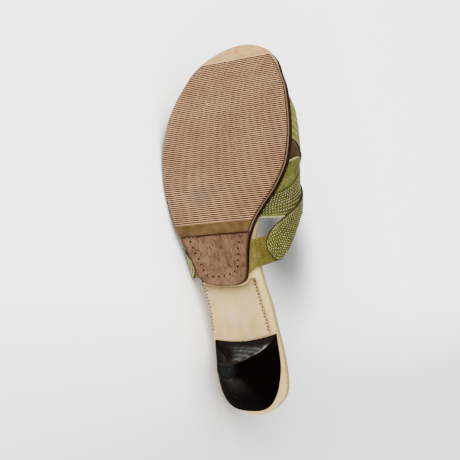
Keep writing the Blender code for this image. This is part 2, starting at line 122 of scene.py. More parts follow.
# outsole outline before its ends are rounded: x, outer side, inner side
SOLE = ((TONGUE_X, -27.6, 6.0), (99, -31.3, 8.2), (117, -36.8, 12.0), (128, -40.2, 17.2),
        (139, -43.3, 25.2), (150, -45.8, 34.3), (162, -47.6, 40.8), (175, -48.0, 43.8),
        (188, -46.9, 44.6), (202, -43.6, 43.8), (216, -37.4, 41.7), (231, -28.6, 36.6),
        (TOE_X, -17.6, 33.5))

# insole outline at heel and waist: x, outer side, inner side
INSOLE_BACK = ((0, -20.5, 25.5), (25, -22.0, 27.4), (45, -24.6, 25.2), (61, -25.3, 22.3),
               (76, -25.8, 20.2), (90, -27.0, 17.2), (105, -30.8, 15.4), (120, -34.9, 15.3))
INSOLE = INSOLE_BACK + tuple((x, a + RIM, b - RIM) for x, a, b in SOLE if x > 130)

# waist cover outline: x, outer side, inner side
COVER_SIDES = ((50, -24.3, 18.6), (59, -24.5, 17.4), (82, -26.2, 13.1), (100, -31.0, 10.3))

# the last: x, outer bulge, its height over the bed, how upright the side stays above it,
# inner bulge, its height, crest offset, crest height
LAST = ((80, -30.5, 5, 0.50, 28.0, 24, 4, 68), (95, -33.8, 5, 0.45, 30.5, 24, 4, 66),
        (112, -36.0, 4, 0.45, 33.0, 23, 4, 63), (127, -37.8, 3, 0.68, 35.2, 22, 4, 59),
        (143, -41.6, 3, 0.95, 38.6, 20, 4, 55), (165, -44.4, 5, 0.98, 41.3, 16, 3, 47),
        (184, -43.4, 4, 0.90, 42.4, 12, 2, 39), (202, -40.0, 2, 0.60, 41.2, 9, 2, 32),
        (220, -31.6, 2, 0.55, 37.4, 8, 2, 26))

# straps: place round the last (1 inner sole edge, 0 crest, -1 outer sole edge), back x, front x
INSTEP_BAND = ((1.0, 132, 167), (0.8, 133, 172.5), (0.6, 137, 174), (0.3, 143, 173.4), (0, 146, 173),
               (-0.4, 144, 171.5), (-0.7, 139, 168), (-1.0, 133, 163))
OUTER_LEAF_BAND = ((1.0, 182, 212), (0.85, 180.5, 206.5), (0.7, 175.5, 200), (0.4, 163.5, 187), (0, 148, 172),
                   (-0.4, 130, 156), (-0.7, 108, 136), (-0.85, 95.5, 121), (-0.99, 94, 112))
INNER_LEAF_BAND = ((-1.0, 172, 200), (-0.8, 171, 199), (-0.5, 167, 194), (0, 152, 180), (0.3, 143, 169),
                   (0.6, 128, 151), (0.7, 117, 142.5), (0.78, 109, 135), (0.84, 105.5, 129),
                   (0.925, 107, 123.5))
OUTER_STAY = ((-1.0, 94, 110), (-0.8, 97, 114))
INNER_STAY = ((100.5, 118.5), (106.0, 124.0))
STAY_START = (96.5, 114.5)      # the stay's edges where it comes out beside the tongue
STAY_TOP = 0.8                  # place round the last where the inner stay ends

# heel sections: height from the lift (0) to the seat (1), back x, front x at the outer side,
# front x at the inner side, outer half width, inner half width
HEEL = ((0.00, 26.8, 37.2, 37.4, 6.4, 6.4), (0.15, 26.6, 37.5, 37.9, 6.5, 6.5),
        (0.35, 24.9, 38.4, 39.2, 7.6, 7.7), (0.60, 20.0, 40.2, 42.0, 11.3, 11.2),
        (0.80, 13.0, 43.5, 46.6, 17.2, 17.2), (0.92, 6.4, 47.6, 52.2, 22.0, 21.8),
        (1.00, 2.3, 51.5, 57.0, 24.3, 24.6))


# %% Curves through the tables
def smooth(table, column, x):
    """Cubic through one column of a table, its slopes the mean slopes at each row."""
    rows = np.array(sorted(table), dtype=float)
    keys, values = rows[:, 0], rows[:, column]
    slopes = np.gradient(values, keys)
    x = np.clip(np.asarray(x, dtype=float), keys[0], keys[-1])
    i = np.clip(np.searchsorted(keys, x, side="right") - 1, 0, len(keys) - 2)
    step = keys[i + 1] - keys[i]
    t = (x - keys[i]) / step
    start = (1 + 2 * t) * (1 - t) ** 2 * values[i] + t * (1 - t) ** 2 * step * slopes[i]
    end = t * t * (3 - 2 * t) * values[i + 1] + t * t * (t - 1) * step * slopes[i + 1]
    return start + end


def between(a, b, share):
    """The value at a share of the way from a to b."""
    return a + (b - a) * share


def ripple(turns):
    """Rounded wave from 0 to 1 and back once a turn: half of one plus the cosine."""
    return 0.5 + 0.5 * np.cos(2 * np.pi * turns)


def walked(points, axis=0):
    """Length walked along an axis of a grid of points: the steps' lengths added up from 0."""
    step = np.linalg.norm(np.diff(points, axis=axis), axis=-1)
    return np.concatenate([np.zeros_like(np.take(step, [0], axis)), np.cumsum(step, axis=axis)], axis=axis)


def smooth_pair(table, x):
    """The first two columns of a table at x: two sides, or back and front."""
    return smooth(table, 1, x), smooth(table, 2, x)


def eased(x, span):
    """0 before a span, 1 after it, smooth between."""
    t = np.clip((x - span[0]) / (span[1] - span[0]), 0, 1)
    return t * t * (3 - 2 * t)


def bump(x, centre, width):
    """Soft hill of height 1: a Gaussian bell."""
    return np.exp(-((x - centre) / width) ** 2)


def bed(x):
    """Height of the insole's underside: flat at the ball, up to the heel seat, up to the toe."""
    x = np.asarray(x, dtype=float)
    spring = np.maximum(x - BALL_FLAT[1], 0) / (TOE_X - BALL_FLAT[1])
    front = BED_BALL + TOE_SPRING * spring ** SPRING_POWER
    ease = np.clip((BALL_FLAT[0] - x) / BED_EASE, 0, 1)
    back = BED_BALL + (smooth(BED, 1, x) - BED_BALL) * ease * (2 - ease)
    return np.where(x < BALL_FLAT[0], back, front)


def round_end(distance, radius, squareness):
    """Share of the full width at a distance from a rounded end: a superellipse, a circle at 2."""
    inside = np.clip(1 - distance / radius, 0, 1)
    return (1 - inside ** squareness) ** (1 / squareness)


def sides(table, x, back_end, front_end, inset=0.0):
    """Outer and inner y of an outline with rounded ends, moved inwards by an inset."""
    outer, inner = smooth_pair(table, x)
    outer, inner = outer + inset, inner - inset
    middle, half = (outer + inner) / 2, (inner - outer) / 2
    half = half * round_end(x - back_end[0] - inset, back_end[1], back_end[2])
    half = half * round_end(front_end[0] - inset - x, front_end[1], front_end[2])
    return middle - half, middle + half


def outsole_sides(x, inset=0.0):
    """Sides of the outsole, round at the toe and squarish at the tongue."""
    return sides(SOLE, x, (TONGUE_X, 9.0, 3.0), (TOE_X, 20.0, 2.0), inset)


def insole_sides(x, inset=0.0):
    """Sides of the insole, round at both ends."""
    return sides(INSOLE, x, (0.0, 20.0, 2.0), (TOE_X - RIM, 18.5, 2.0), inset)


def outsole_thickness(x):
    """Full thickness at the ball, skived to the tongue's back end."""
    return between(TONGUE, OUTSOLE, eased(x, (TONGUE_X, 140.0)))


def insole_thickness(x):
    """Thicker behind the ball, where the board and its wrapped edge show."""
    return between(INSOLE_REAR, INSOLE_FRONT, eased(x, (100.0, 160.0)))


print("bed height at heel, waist, ball, toe, mm:", bed(np.array([0, 80, 170, 250])).round(1))

# %% [markdown]
# ## From grids to meshes
#
# Every piece is one or more grids of points.  A grid that wraps round becomes a tube, two grids back to back
# become a wall, and a mesh whose volume comes out negative is turned inside out.  Boxes and cylinders with
# modifiers would need a different trick for each form; numpy arrays hand over any form at once.


# %% Mesh helpers
def grid_faces(rows, columns, wrap=False, start=0):
    """Quads between neighbours of a grid, numbered row by row from start."""
    index = start + np.arange(rows * columns).reshape(rows, columns)
    if wrap:
        index = np.concatenate([index, index[:, :1]], axis=1)
    a, b, c, d = index[:-1, :-1], index[:-1, 1:], index[1:, 1:], index[1:, :-1]
    return np.stack([a, b, c, d], -1).reshape(-1, 4)


def enclosed_volume(points, quads, triangles):
    """Signed volume inside a closed mesh: the sum of its triangles' cones to the origin."""
    tris = np.concatenate([quads[:, :3], quads[:, [0, 2, 3]], triangles])
    a, b, c = (points[tris[:, i]] for i in range(3))
    return np.sum(a * np.cross(b, c)) / 6


def make_piece(name, finishes, points, quads, triangles=None, fields=None, paint=None, crisp=40.0):
    """Closed mesh object from standing millimetre points.

    finishes are its materials and paint says which of them a face wears; fields are values for each
    point that materials read by name; edges sharper than crisp degrees stay sharp.
    """
    triangles = np.zeros((0, 3), int) if triangles is None else triangles
    world = placed(points)
    if enclosed_volume(world, quads, triangles) < 0:
        quads, triangles = quads[:, ::-1], triangles[:, ::-1]
    mesh = bpy.data.meshes.new(name)
    mesh.from_pydata(world.tolist(), [], quads.tolist() + triangles.tolist())
    for key, values in (fields or {}).items():
        layer = mesh.attributes.new(key, "FLOAT", "POINT")
        layer.data.foreach_set("value", np.asarray(values, dtype=np.float32).ravel())
    for finish in finishes:
        mesh.materials.append(finish)
    if paint is not None:
        mesh.polygons.foreach_set("material_index", np.asarray(paint, dtype=np.int32))
    mesh.polygons.foreach_set("use_smooth", np.ones(len(mesh.polygons), dtype=bool))
    mesh.set_sharp_from_angle(angle=math.radians(crisp))
    mesh.update()
    piece = bpy.data.objects.new(name, mesh)
    bpy.context.scene.collection.objects.link(piece)
    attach(piece, "root")
    print(f"{name}: {len(quads) * 2 + len(triangles)} triangles")
    return piece


def tube(rings):
    """Points, quads and triangles of closed rings in a row, each end closed by a fan to its middle."""
    rings = np.asarray(rings)
    rows, columns, _ = rings.shape
    quads = grid_faces(rows, columns, wrap=True)
    points = np.concatenate([rings.reshape(-1, 3), rings[0].mean(0)[None], rings[-1].mean(0)[None]])
    first, last = np.arange(columns), (rows - 1) * columns + np.arange(columns)
    head = np.stack([np.full(columns, rows * columns), np.roll(first, -1), first], -1)
    tail = np.stack([np.full(columns, rows * columns + 1), last, np.roll(last, -1)], -1)
    return points, quads, np.concatenate([head, tail])


def wall(under, over):
    """Points and quads of the closed wall between two grids of the same shape."""
    rows, columns, _ = under.shape
    count = rows * columns
    low = np.arange(count).reshape(rows, columns)
    rim = np.concatenate([low[0, :-1], low[:-1, -1], low[-1, :0:-1], low[:0:-1, 0]])
    after = np.roll(rim, -1)
    border = np.stack([rim, after, after + count, rim + count], -1)
    low, high = grid_faces(rows, columns)[:, ::-1], grid_faces(rows, columns, start=count)
    return np.concatenate([under.reshape(-1, 3), over.reshape(-1, 3)]), np.concatenate([low, high, border])


# %% [markdown]
# ## Finishes
#
# Materials are networks of nodes.  One helper adds a node and plugs values or other nodes' sockets into it,
# so that each finish reads from top to bottom.  Patterns are noise measured in millimetres on the object's
# own coordinates: a painted picture would have to be unwrapped on every piece.  Colours are written as colour
# pickers show them and turned into the linear light that Blender works in.


# %% Colours and nodes
def colour(code):
    """sRGB hex as linear RGBA."""
    parts = np.array([int(code[i:i + 2], 16) for i in (1, 3, 5)]) / 255
    linear = np.where(parts <= 0.04045, parts / 12.92, ((parts + 0.055) / 1.055) ** 2.4)
    return (*linear.tolist(), 1.0)


def add(tree, kind, inputs=None, out=0, stops=(), **settings):
    """Add one node and return one of its outputs.

    inputs gives sockets, by name or number, a value, a hex colour or another node's output; stops are a
    ramp's positions and hex colours; settings are the node's own properties.
    """
    made = tree.nodes.new("ShaderNode" + kind)
    for key, value in settings.items():
        setattr(made, key, value)
    for _ in stops[2:]:
        made.color_ramp.elements.new(0.5)
    for (position, code), element in zip(stops, made.color_ramp.elements if stops else ()):
        element.position, element.color = position, colour(code)
    for key, value in (inputs or {}).items():
        if isinstance(value, bpy.types.NodeSocket):
            tree.links.new(value, made.inputs[key])
        else:
            made.inputs[key].default_value = colour(value) if isinstance(value, str) else value
    return made.outputs[out]


BLEND = dict(out=2, data_type="RGBA")                           # mixes colours 6 and 7 by factor 0
TINT = dict(out=2, data_type="RGBA", blend_type="MULTIPLY")     # darkens colour 6 by colour 7


def new_finish(name, roughness, specular=0.5):
    """A material, its tree and its shader; the refraction of 1.5 suits leather, lacquer and rubber."""
    made = bpy.data.materials.new(name)
    made.use_nodes = True
    shader = made.node_tree.nodes["Principled BSDF"]
    for key, value in (("Roughness", roughness), ("IOR", 1.5), ("Specular IOR Level", specular)):
        shader.inputs[key].default_value = value
    return made, made.node_tree, shader


def cloudy(tree, size_mm, stops, stretch=(1.0, 1.0, 1.0), detail=4.0):
    """Colours that drift over patches size_mm wide; a stretch below 1 draws the patches out that way."""
    place = add(tree, "TexCoord", out="Object")
    place = add(tree, "Mapping", {0: place, 3: stretch})
    level = add(tree, "TexNoise", {"Vector": place, "Scale": 1 / (size_mm * MM), "Detail": detail})
    return add(tree, "ValToRGB", {0: level}, stops=stops)


def stained(tree, base, size_mm, code, amount, span=(0.58, 0.76), stretch=(1.0, 1.0, 1.0)):
    """Base with another colour in patches, where the noise is above a span."""
    patch = cloudy(tree, size_mm, ((span[0], "#000000"), (span[1], "#FFFFFF")), stretch, 5.0)
    factor = add(tree, "Math", {0: patch, 1: amount}, operation="MULTIPLY")
    return add(tree, "Mix", {0: factor, 6: base, 7: code}, **BLEND)


def marked(tree, base, marks):
    """Base with ragged round marks: standing point, radius in mm, colour and strength of each."""
    here = add(tree, "TexCoord", out="Object")
    ragged = add(tree, "TexNoise", {"Vector": here, "Scale": 1 / (1.1 * MM)})
    for where, radius, code, strength in marks:
        reach = radius * MM
        away = add(tree, "VectorMath", {0: here, 1: tuple(placed(where))}, "Value", operation="DISTANCE")
        away = add(tree, "Math", {0: ragged, 1: reach, 2: away}, operation="MULTIPLY_ADD")
        mask = add(tree, "MapRange", {0: away, 1: 1.7 * reach, 2: 0.9 * reach, 3: 0.0, 4: strength})
        base = add(tree, "Mix", {0: mask, 6: base, 7: code}, **BLEND)
    return base


def painted(tree, base, fields):
    """Base with a colour laid on where each of the mesh's own fields is 1."""
    for name, code in fields:
        mask = add(tree, "Attribute", out="Fac", attribute_name=name)
        base = add(tree, "Mix", {0: mask, 6: base, 7: code}, **BLEND)
    return base


def finished(tree, shader, base, grain, depth_mm):
    """Plug in the colour, and fine relief that is too small for the mesh."""
    bumps = add(tree, "Bump", {"Height": grain, "Distance": depth_mm * MM})
    tree.links.new(base, shader.inputs["Base Color"])
    tree.links.new(bumps, shader.inputs["Normal"])


CAD_FINISHES = len(bpy.data.materials)


def count_finishes():
    """Print how many finishes there are besides the CAD part's own."""
    print("finishes so far:", len(bpy.data.materials) - CAD_FINISHES)


print("a mid grey of #808080 is", round(colour("#808080")[0], 3), "in linear light")

# %% [markdown]
# ## One recipe for leather
#
# Leather is a mat of fibres under a thin coat: the fibres give a cloudy colour and a fine grain, the coat a
# weak and broad gloss.  Each leather could have its own network of nodes, but those would be copies of each
# other, so one function makes them all: clouds, grain, stains, single marks, and colours laid on where the
# mesh says so.  With finer numbers it also gives thread, old glue and rubber.


# %% Plain surfaces
def leather(name, stops, grain_mm, roughness, patch_mm=14.0, stains=(), marks=(), fields=(), depth=0.05,
            specular=0.2):
    """Cloudy colour with a fine grain in colour and relief, then stains, marks and painted fields."""
    made, tree, shader = new_finish(name, roughness, specular)
    base = cloudy(tree, patch_mm, stops)
    grain = cloudy(tree, grain_mm, ((0.35, "#CFCFCF"), (0.65, "#FFFFFF")), detail=3.0)
    base = add(tree, "Mix", {0: 0.7, 6: base, 7: grain}, **TINT)
    for stain in stains:
        base = stained(tree, base, *stain)
    finished(tree, shader, painted(tree, marked(tree, base, marks), fields), grain, depth)
    return made


# %% [markdown]
# ## Leathers of the outsole
#
# The outsole is one board of vegetable-tanned hide, raw at the toe, stained brown and scuffed under the
# waist, and inked almost black along its edge.  Three boards could meet there, but the real one has no seam,
# so one mesh carries three finishes and a field on its points moves the ink over the corner.

# %% Outsole leathers
ALONG = (0.26, 0.34, 1.0)        # stretch of scuffs that run along the shoe
# Raw hide: open fibres scatter the light, so there is hardly a gloss; specks of dust are about 1 mm.
toe_leather = leather("raw_sole_leather", ((0.35, "#B38C53"), (0.65, "#CFA86F")), 0.8, 0.62, 5.0,
                      stains=((1.0, "#7A5834", 0.55),), fields=(("pale_line", "#B8A588"), ("rim", "#2A120A")))
# Stained hide: the dye sinks in unevenly and the scuffs run along the shoe; a dark leather under a white
# sky would look grey with a full gloss, so the gloss is taken down.
tongue_leather = leather("stained_sole_leather", ((0.32, "#5E4434"), (0.68, "#84664C")), 0.7, 0.5, 9.0,
                         stains=((2.2, "#3A2014", 0.5), (1.0, "#28140C", 0.75, (0.5, 0.68), ALONG)),
                         fields=(("rim", "#3A2417"),), specular=0.05)
# Edge ink: a dark waxy paint, smoother than the hide but seldom polished.
edge_ink = leather("inked_leather_edge", ((0.3, "#25120C"), (0.7, "#3E2018")), 0.5, 0.5, 8.0, specular=0.05)
count_finishes()

# %% [markdown]
# ## Cream lining leathers
#
# The insole is a board wrapped in thin cream kid, and the waist cover is a sheet of the same kind, greyer
# with wear.  Plain colour would do from afar; clouds and small marks are there because pale smooth leather
# shows every touch, but the insole's dark mark and the cover's darkening at the tongue are painted shade.

# %% Insole and cover leathers
# Wrapped kid: pale, smooth, a little warm where the board shows through; its pores are 0.5 mm wide.
# the dark mark at its inner edge, seen in the opening between the front straps, is painted shade
insole_leather = leather("insole_lining_leather", ((0.3, "#F9D28A"), (0.7, "#FFE59C")), 0.5, 0.5, 9.0,
                         stains=((0.9, "#A8825A", 0.3), (7.0, "#D2AA80", 0.35)), depth=0.03,
                         marks=(((173.0, 41.0, 9.6), 5.5, "#3A281A", 0.9),))
# The cover's kid: pinkish patches of wear, one dark nick, and a painted shadow that falls from the tongue's
# edge.
cover_leather = leather("waist_cover_leather", ((0.3, "#D2B26B"), (0.7, "#EBD288")), 0.5, 0.45, 12.0,
                        stains=((9.0, "#E2BF96", 0.7, (0.45, 0.62), (0.4, 1.0, 1.0)), (2.4, "#9C7850", 0.25)),
                        marks=(((84.9, -24.6, 24.9), 0.9, "#3A2416", 0.9),), depth=0.03,
                        fields=(("shade", "#2E2416"),))
count_finishes()

# %% [markdown]
# ## Threads, holes, glue and a scratch
#
# These are too small for clouds, so each is nearly one colour.  Thread is twisted cotton, fuzzy and matt.  A
# needle hole lets no light out, so it is almost black.  They could be part of the leather's finish, but the
# pieces that carry them are meshes of their own.

# %% Small finishes
# Waxed cotton of the sole: the twist is finer than the render can show, so its bands are drawn 1.2 mm wide.
thread_cream = leather("waxed_cotton_thread", ((0.3, "#A88A60"), (0.7, "#E8D0A4")), 0.25, 0.6, 1.2)
# Cotton dyed to match the straps, paler than the leather it holds.
thread_lime = leather("lime_cotton_thread", ((0.3, "#D2CF84"), (0.7, "#F6F4C4")), 0.25, 0.55, 3.0)
# Dark stitches of the cover, with the shadow of their holes.
thread_brown = leather("red_brown_thread", ((0.3, "#1E0E0A"), (0.7, "#44241A")), 0.25, 0.6, 2.0, specular=0.1)
# A scratch roughens the coat, so it scatters more light and loses its gloss.
scratch = leather("scratched_leather", ((0.3, "#A88A66"), (0.7, "#B99A74")), 0.25, 0.7, 2.0, specular=0.1)
# Contact glue dries red-brown and takes up dirt.
old_glue = leather("dried_contact_glue", ((0.3, "#200A05"), (0.7, "#4E1B0E")), 0.4, 0.5, 3.0, specular=0.05)
# The holes are drawn 1.4 mm wide, coarser than a real awl's, so that they show.
needle_hole = leather("needle_hole", ((0.3, "#0C0604"), (0.7, "#160C08")), 0.25, 0.8, 2.0, specular=0.1)
count_finishes()

# %% [markdown]
# ## Lining, stays and the lift's rubber
#
# The straps are lined with brown leather, darkened as painted shade of the shoe's dim inside.  The stays,
# the short ends that go round the insole, are unfaced olive leather pressed into slanting folds.  The lift
# under the heel is hard moulded rubber.  Each could have nodes of its own, but all three are plain, so the
# leather recipe serves them.

# %% Lining, stay and lift
# Lining: worn smooth by the foot but never glossy; its brown is darkened to stand in for the shade inside the
# shoe.
lining_leather = leather("strap_lining_leather", ((0.3, "#54452F"), (0.7, "#6C5C42")), 0.5, 0.55, depth=0.03)
# Stay: thin and matt, specked with dirt, and painted darker in its folds; the folds themselves are in the
# mesh.
stay_leather = leather("olive_stay_leather", ((0.3, "#7C6F2C"), (0.7, "#968A48")), 0.6, 0.5, 5.0,
                       stains=((1.3, "#2A260C", 0.8),), fields=(("rim", "#3A3410"),), specular=0.1)
# Hard rubber: black with a blue-green cast, dull because its face is ground on the floor.
lift_rubber = leather("moulded_heel_rubber", ((0.3, "#030808"), (0.7, "#081413")), 0.6, 0.5, 3.0,
                      fields=(("rim", "#010202"),), specular=0.08)
count_finishes()

# %% [markdown]
# ## Corded strap leathers
#
# Soft kid is sewn down in rows: it stands up in ridges and lies in hollows in between, where dye and dirt
# gather.  A bump map could fake the ridges, but not their edges and shadows, so the mesh has them and tells
# the finish their height through a field, which paints the crests light and the hollows dark: dye and dirt,
# and painted light and shade.  Smooth parts take a second, paler pair of colours, painted lighter and darker
# over their soft folds.


# %% Corded strap leathers
def row_leather(name, low, high, plain_low, plain_high, edge):
    """Strap leather: hollows dark and crests light by the mesh's own rise, another pair on plain parts."""
    made, tree, shader = new_finish(name, 0.45, 0.15)
    rise, plain = (add(tree, "Attribute", out="Fac", attribute_name=key) for key in ("rise", "plain"))
    # crests painted light and hollows dark: painted light and shade over dye and dirt; plain parts likewise
    # over their folds
    rows = add(tree, "ValToRGB", {0: rise}, stops=((0.35, low), (0.95, high)))
    flat = add(tree, "ValToRGB", {0: rise}, stops=((0.0, plain_low), (0.9, plain_high)))
    base = add(tree, "Mix", {0: plain, 6: rows, 7: flat}, **BLEND)
    patches = cloudy(tree, 7.0, ((0.35, "#B8B8A8"), (0.6, "#FFFFFF")))
    base = add(tree, "Mix", {0: 0.7, 6: base, 7: patches}, **TINT)
    fine = cloudy(tree, 0.9, ((0.3, "#8C8C80"), (0.6, "#FFFFFF")))
    base = add(tree, "Mix", {0: 0.85, 6: base, 7: fine}, **TINT)
    finished(tree, shader, painted(tree, base, (("rim", edge),)), fine, 0.1)
    return made


# Kid over cords has a soft sheen: rougher than lacquer, smoother than raw hide, and a weak gloss.
# the last colour lies along the cut edge: pale on the band; dark on the leaves, edge paint and a painted
# shadow
band_leather = row_leather("corded_olive_leather", "#201C05", "#706F31", "#67672B", "#9D9E50", "#C9C58A")
leaf_leather = row_leather("corded_moss_leather", "#222108", "#7A7729", "#706C36", "#928E4B", "#24220A")
front_leather = row_leather("lime_kid_leather", "#2A280A", "#7C7A3A", "#ABAB5A", "#DADB7A", "#1E1C0A")
count_finishes()

# %% [markdown]
# ## Heel lacquers
#
# The heel is a moulded block under black lacquer, brushed in curved strokes on its breast.  A mirror would
# show the whole white studio; the real lacquer is worn to a satin, so it is rather rough and its gloss is
# weak.  The light on it is painted: a crescent of painted highlight with the strokes in it on the breast, and
# faint painted highlights in arcs on the side.  The strokes could be noise, but they follow the heel's own
# form, so fields of the mesh draw them.

# %% Heel lacquers
# Black lacquer with a trace of red-brown; a few fine arcs on the side are painted faint highlights.
heel_lacquer, tree, shader = new_finish("heel_lacquer", 0.4, 0.012)
base = cloudy(tree, 12.0, ((0.3, "#030202"), (0.7, "#0A0504")))
finished(tree, shader, painted(tree, base, (("arc_highlights", "#262423"),)), base, 0.0)

# The breast: the same lacquer, with a painted highlight in a crescent, drawn as brushed strokes.
brushed_lacquer_with_painted_highlight, tree, shader = new_finish("brushed_lacquer_with_painted_highlight", 0.35, 0.04)
swirl, lit = (add(tree, "Attribute", out="Fac", attribute_name=key) for key in ("swirl", "lit"))
lines = add(tree, "ValToRGB", {0: swirl}, stops=((0.3, "#1A1C1D"), (0.55, "#424648"), (0.9, "#8E9294")))
worn = cloudy(tree, 3.0, ((0.35, "#808080"), (0.65, "#FFFFFF")), (1.0, 0.3, 1.0))
lines = add(tree, "Mix", {0: 0.8, 6: lines, 7: worn}, **TINT)
base = add(tree, "Mix", {0: lit, 6: "#0E0707", 7: lines}, **BLEND)
finished(tree, shader, base, worn, 0.01)
count_finishes()

# %% [markdown]
# ## Ribbed rubber
#
# The half sole is a thin sheet of tan rubber with fine pressed ribs.  Rubber is matt, its crests are rubbed
# pale and its grooves hold dirt.  One brown would be easier, but the ribs would vanish at this distance, so
# their height drives two colours, with worn clouds over both: pale crests and dark grooves, partly wear and
# dirt and partly painted light and shade.

# %% Ribbed rubber
# The rear strip has no ribs: it is browner, glue-stained and smooth.
ribbed_rubber, tree, shader = new_finish("ribbed_tan_rubber", 0.6, 0.1)
rise, plain = (add(tree, "Attribute", out="Fac", attribute_name=key) for key in ("rise", "plain"))
crest = cloudy(tree, 18.0, ((0.3, "#DEAD82"), (0.7, "#F2C79A")))
groove = cloudy(tree, 18.0, ((0.3, "#301E12"), (0.7, "#3A2618")))
# crests pale and grooves dark by the ribs' height: wear and dirt, and painted light and shade
sharp = add(tree, "ValToRGB", {0: rise}, stops=((0.7, "#000000"), (0.97, "#FFFFFF")))
base = add(tree, "Mix", {0: sharp, 6: groove, 7: crest}, **BLEND)
wear = cloudy(tree, 8.0, ((0.35, "#DAD6D2"), (0.6, "#FFFFFF")), detail=5.0)
base = add(tree, "Mix", {0: 0.35, 6: base, 7: wear}, **TINT)
tan = cloudy(tree, 5.0, ((0.35, "#493715"), (0.65, "#61492A")))
base = add(tree, "Mix", {0: plain, 6: base, 7: tan}, **BLEND)
# two dark nicks, a pale one, and grey smudges under the ball
base = marked(tree, base, (((229.8, -1.9, 1.4), 0.9, "#20140C", 0.9),
                           ((223.5, 6.9, 0.9), 1.0, "#20140C", 0.9),
                           ((209.5, -13.0, 0.3), 0.8, "#F6E2C4", 0.9),
                           ((146.0, -20.0, 0.4), 6.5, "#5A5048", 0.45),
                           ((150.0, -9.0, 0.4), 4.0, "#5A5048", 0.25)))
finished(tree, shader, base, cloudy(tree, 0.4, ((0.0, "#000000"), (1.0, "#FFFFFF")), detail=2.0), 0.04)
count_finishes()

# %% [markdown]
# ## Layers of the sole
#
# Outsole and insole are boards cut to an outline and bent along the last.  They could be boxes with a bevel
# modifier, but a bevel can break at a thin round end.  Here a section across the shoe is a ring: over the
# underside, up the inner edge, back over the top and down the outer edge.  Each corner is a quarter circle,
# drawn by moving the outline inwards while the height changes.


# %% Plates that follow the bed
def corner(radius, steps=4):
    """Insets and heights of a quarter circle, from the flat to the side."""
    angle = np.linspace(0, np.pi / 2, steps + 1)
    return radius * (1 - np.sin(angle)), radius * (1 - np.cos(angle))


FIRST_TURN = 0.006      # angle of a rounded end's first row, small so that the closing fan shows no dent


def end_stations(start, stop, back_radius, front_radius, step=1.6, turns=14):
    """Places along a plate from 0 to 1: even in the middle and closer towards its rounded ends."""
    length = stop - start
    turn = 1 - np.cos(np.linspace(FIRST_TURN, np.pi / 2, turns))
    middle = np.arange(start + back_radius, stop - front_radius, step)[1:-1]
    x = np.concatenate([start + back_radius * turn, middle, stop - front_radius * turn[::-1]])
    return (x - start) / length


PLATE_COLUMNS = 26       # points across each face of a plate


def plate(outline, ends, low, high, low_radius, high_radius, share):
    """Rings of a plate.  outline(x, inset) gives its two sides, low(x) and high(x) its faces."""
    rings = []
    low_in, low_up = corner(low_radius)
    high_in, high_down = corner(high_radius)
    insets = np.concatenate([low_in, high_in[::-1]])

    def station(inset):
        """x of the rows, with both ends moved in by an inset."""
        return ends[0] + inset + (ends[1] - ends[0] - 2 * inset) * share

    def row(inset, height):
        """A whole face: points at even shares of the way from side to side."""
        x = station(inset)
        outer, inner = outline(x, inset)
        y = between(outer[:, None], inner[:, None], np.linspace(0, 1, PLATE_COLUMNS))
        return np.stack(np.broadcast_arrays(x[:, None], y, height(x)[:, None]), -1)

    def edge(inset, lift, inner_side):
        """One line of points along a side."""
        x = station(inset)
        y = outline(x, inset)[1 if inner_side else 0]
        return np.stack([x, y, lift(x)], -1)[:, None]

    lifts = [lambda x, u=u: low(x) + u for u in low_up]
    lifts += [lambda x, d=d: high(x) - d for d in high_down[::-1]]
    rings.append(row(insets[0], lifts[0]))
    rings += [edge(i, h, True) for i, h in zip(insets[1:-1], lifts[1:-1])]
    rings.append(row(insets[-1], lifts[-1])[:, ::-1])
    rings += [edge(i, h, False) for i, h in zip(insets[-2:0:-1], lifts[-2:0:-1])]
    return np.concatenate(rings, axis=1)


def under_insole(x):
    """Height of the outsole's hidden face, one gap below the insole."""
    return bed(x) - GAP


def tread(x):
    """Height of the outsole's underside."""
    return under_insole(x) - outsole_thickness(x)


print("outsole at the ball, mm thick:", float(outsole_thickness(170.0)))

# %% [markdown]
# ## Outsole
#
# The board that carries the shoe, thick under the ball and thinned behind it to a tongue that ends under the
# waist.  A mesh for each finish would leave gaps, so it is one plate whose faces are sorted by where they
# are: raw toe, stained tongue or inked edge.  Two fields keep the borders soft, the ink and a pale line
# beside the rubber.

# %% Outsole
RUBBER_ENDS = (122.5, 239.0)     # half sole's rear edge and front cut
outsole_share = end_stations(TONGUE_X, TOE_X, 9.0, 20.0)
rings = plate(outsole_sides, (TONGUE_X, TOE_X), tread, under_insole, low_radius=0.5, high_radius=0.3,
              share=outsole_share)
points, quads, triangles = tube(rings)
TOE, UNDER_WAIST, EDGE = range(3)
is_underside = np.arange(len(quads)) % rings.shape[1] < PLATE_COLUMNS
is_toe = points[quads].mean(1)[:, 0] > RUBBER_ENDS[0] + 1
paint = np.where(is_underside, np.where(is_toe, TOE, UNDER_WAIST), EDGE)
paint = np.append(paint, np.full(len(triangles), EDGE))
outer, inner = outsole_sides(points[:, 0])
to_side = np.minimum(points[:, 1] - outer, inner - points[:, 1])
beside_rubber = points[:, 0] < RUBBER_ENDS[1] - 1
inked = eased(points[:, 1] - inner, (-0.62, -0.38)) * beside_rubber
# a pale line along the rubber's inner edge
pale_line = eased(points[:, 1] - inner, (-2.2, -1.8)) * beside_rubber * 0.85
rim = np.where(points[:, 0] > RUBBER_ENDS[0], inked, eased(-to_side, (-1.7, -0.7)))
outsole = make_piece("sole_leather", (toe_leather, tongue_leather, edge_ink), points, quads, triangles,
                     fields={"rim": rim, "pale_line": pale_line}, paint=paint)
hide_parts("outsole")

# %% [markdown]
# ## Insole
#
# The board under the foot, wrapped in cream leather all round, so its corners are soft and no cut edge shows.
# It is the same kind of plate with larger corner radii.  Two sheets stitched round a board would be truer to
# the workshop, but nothing of that is seen from outside.

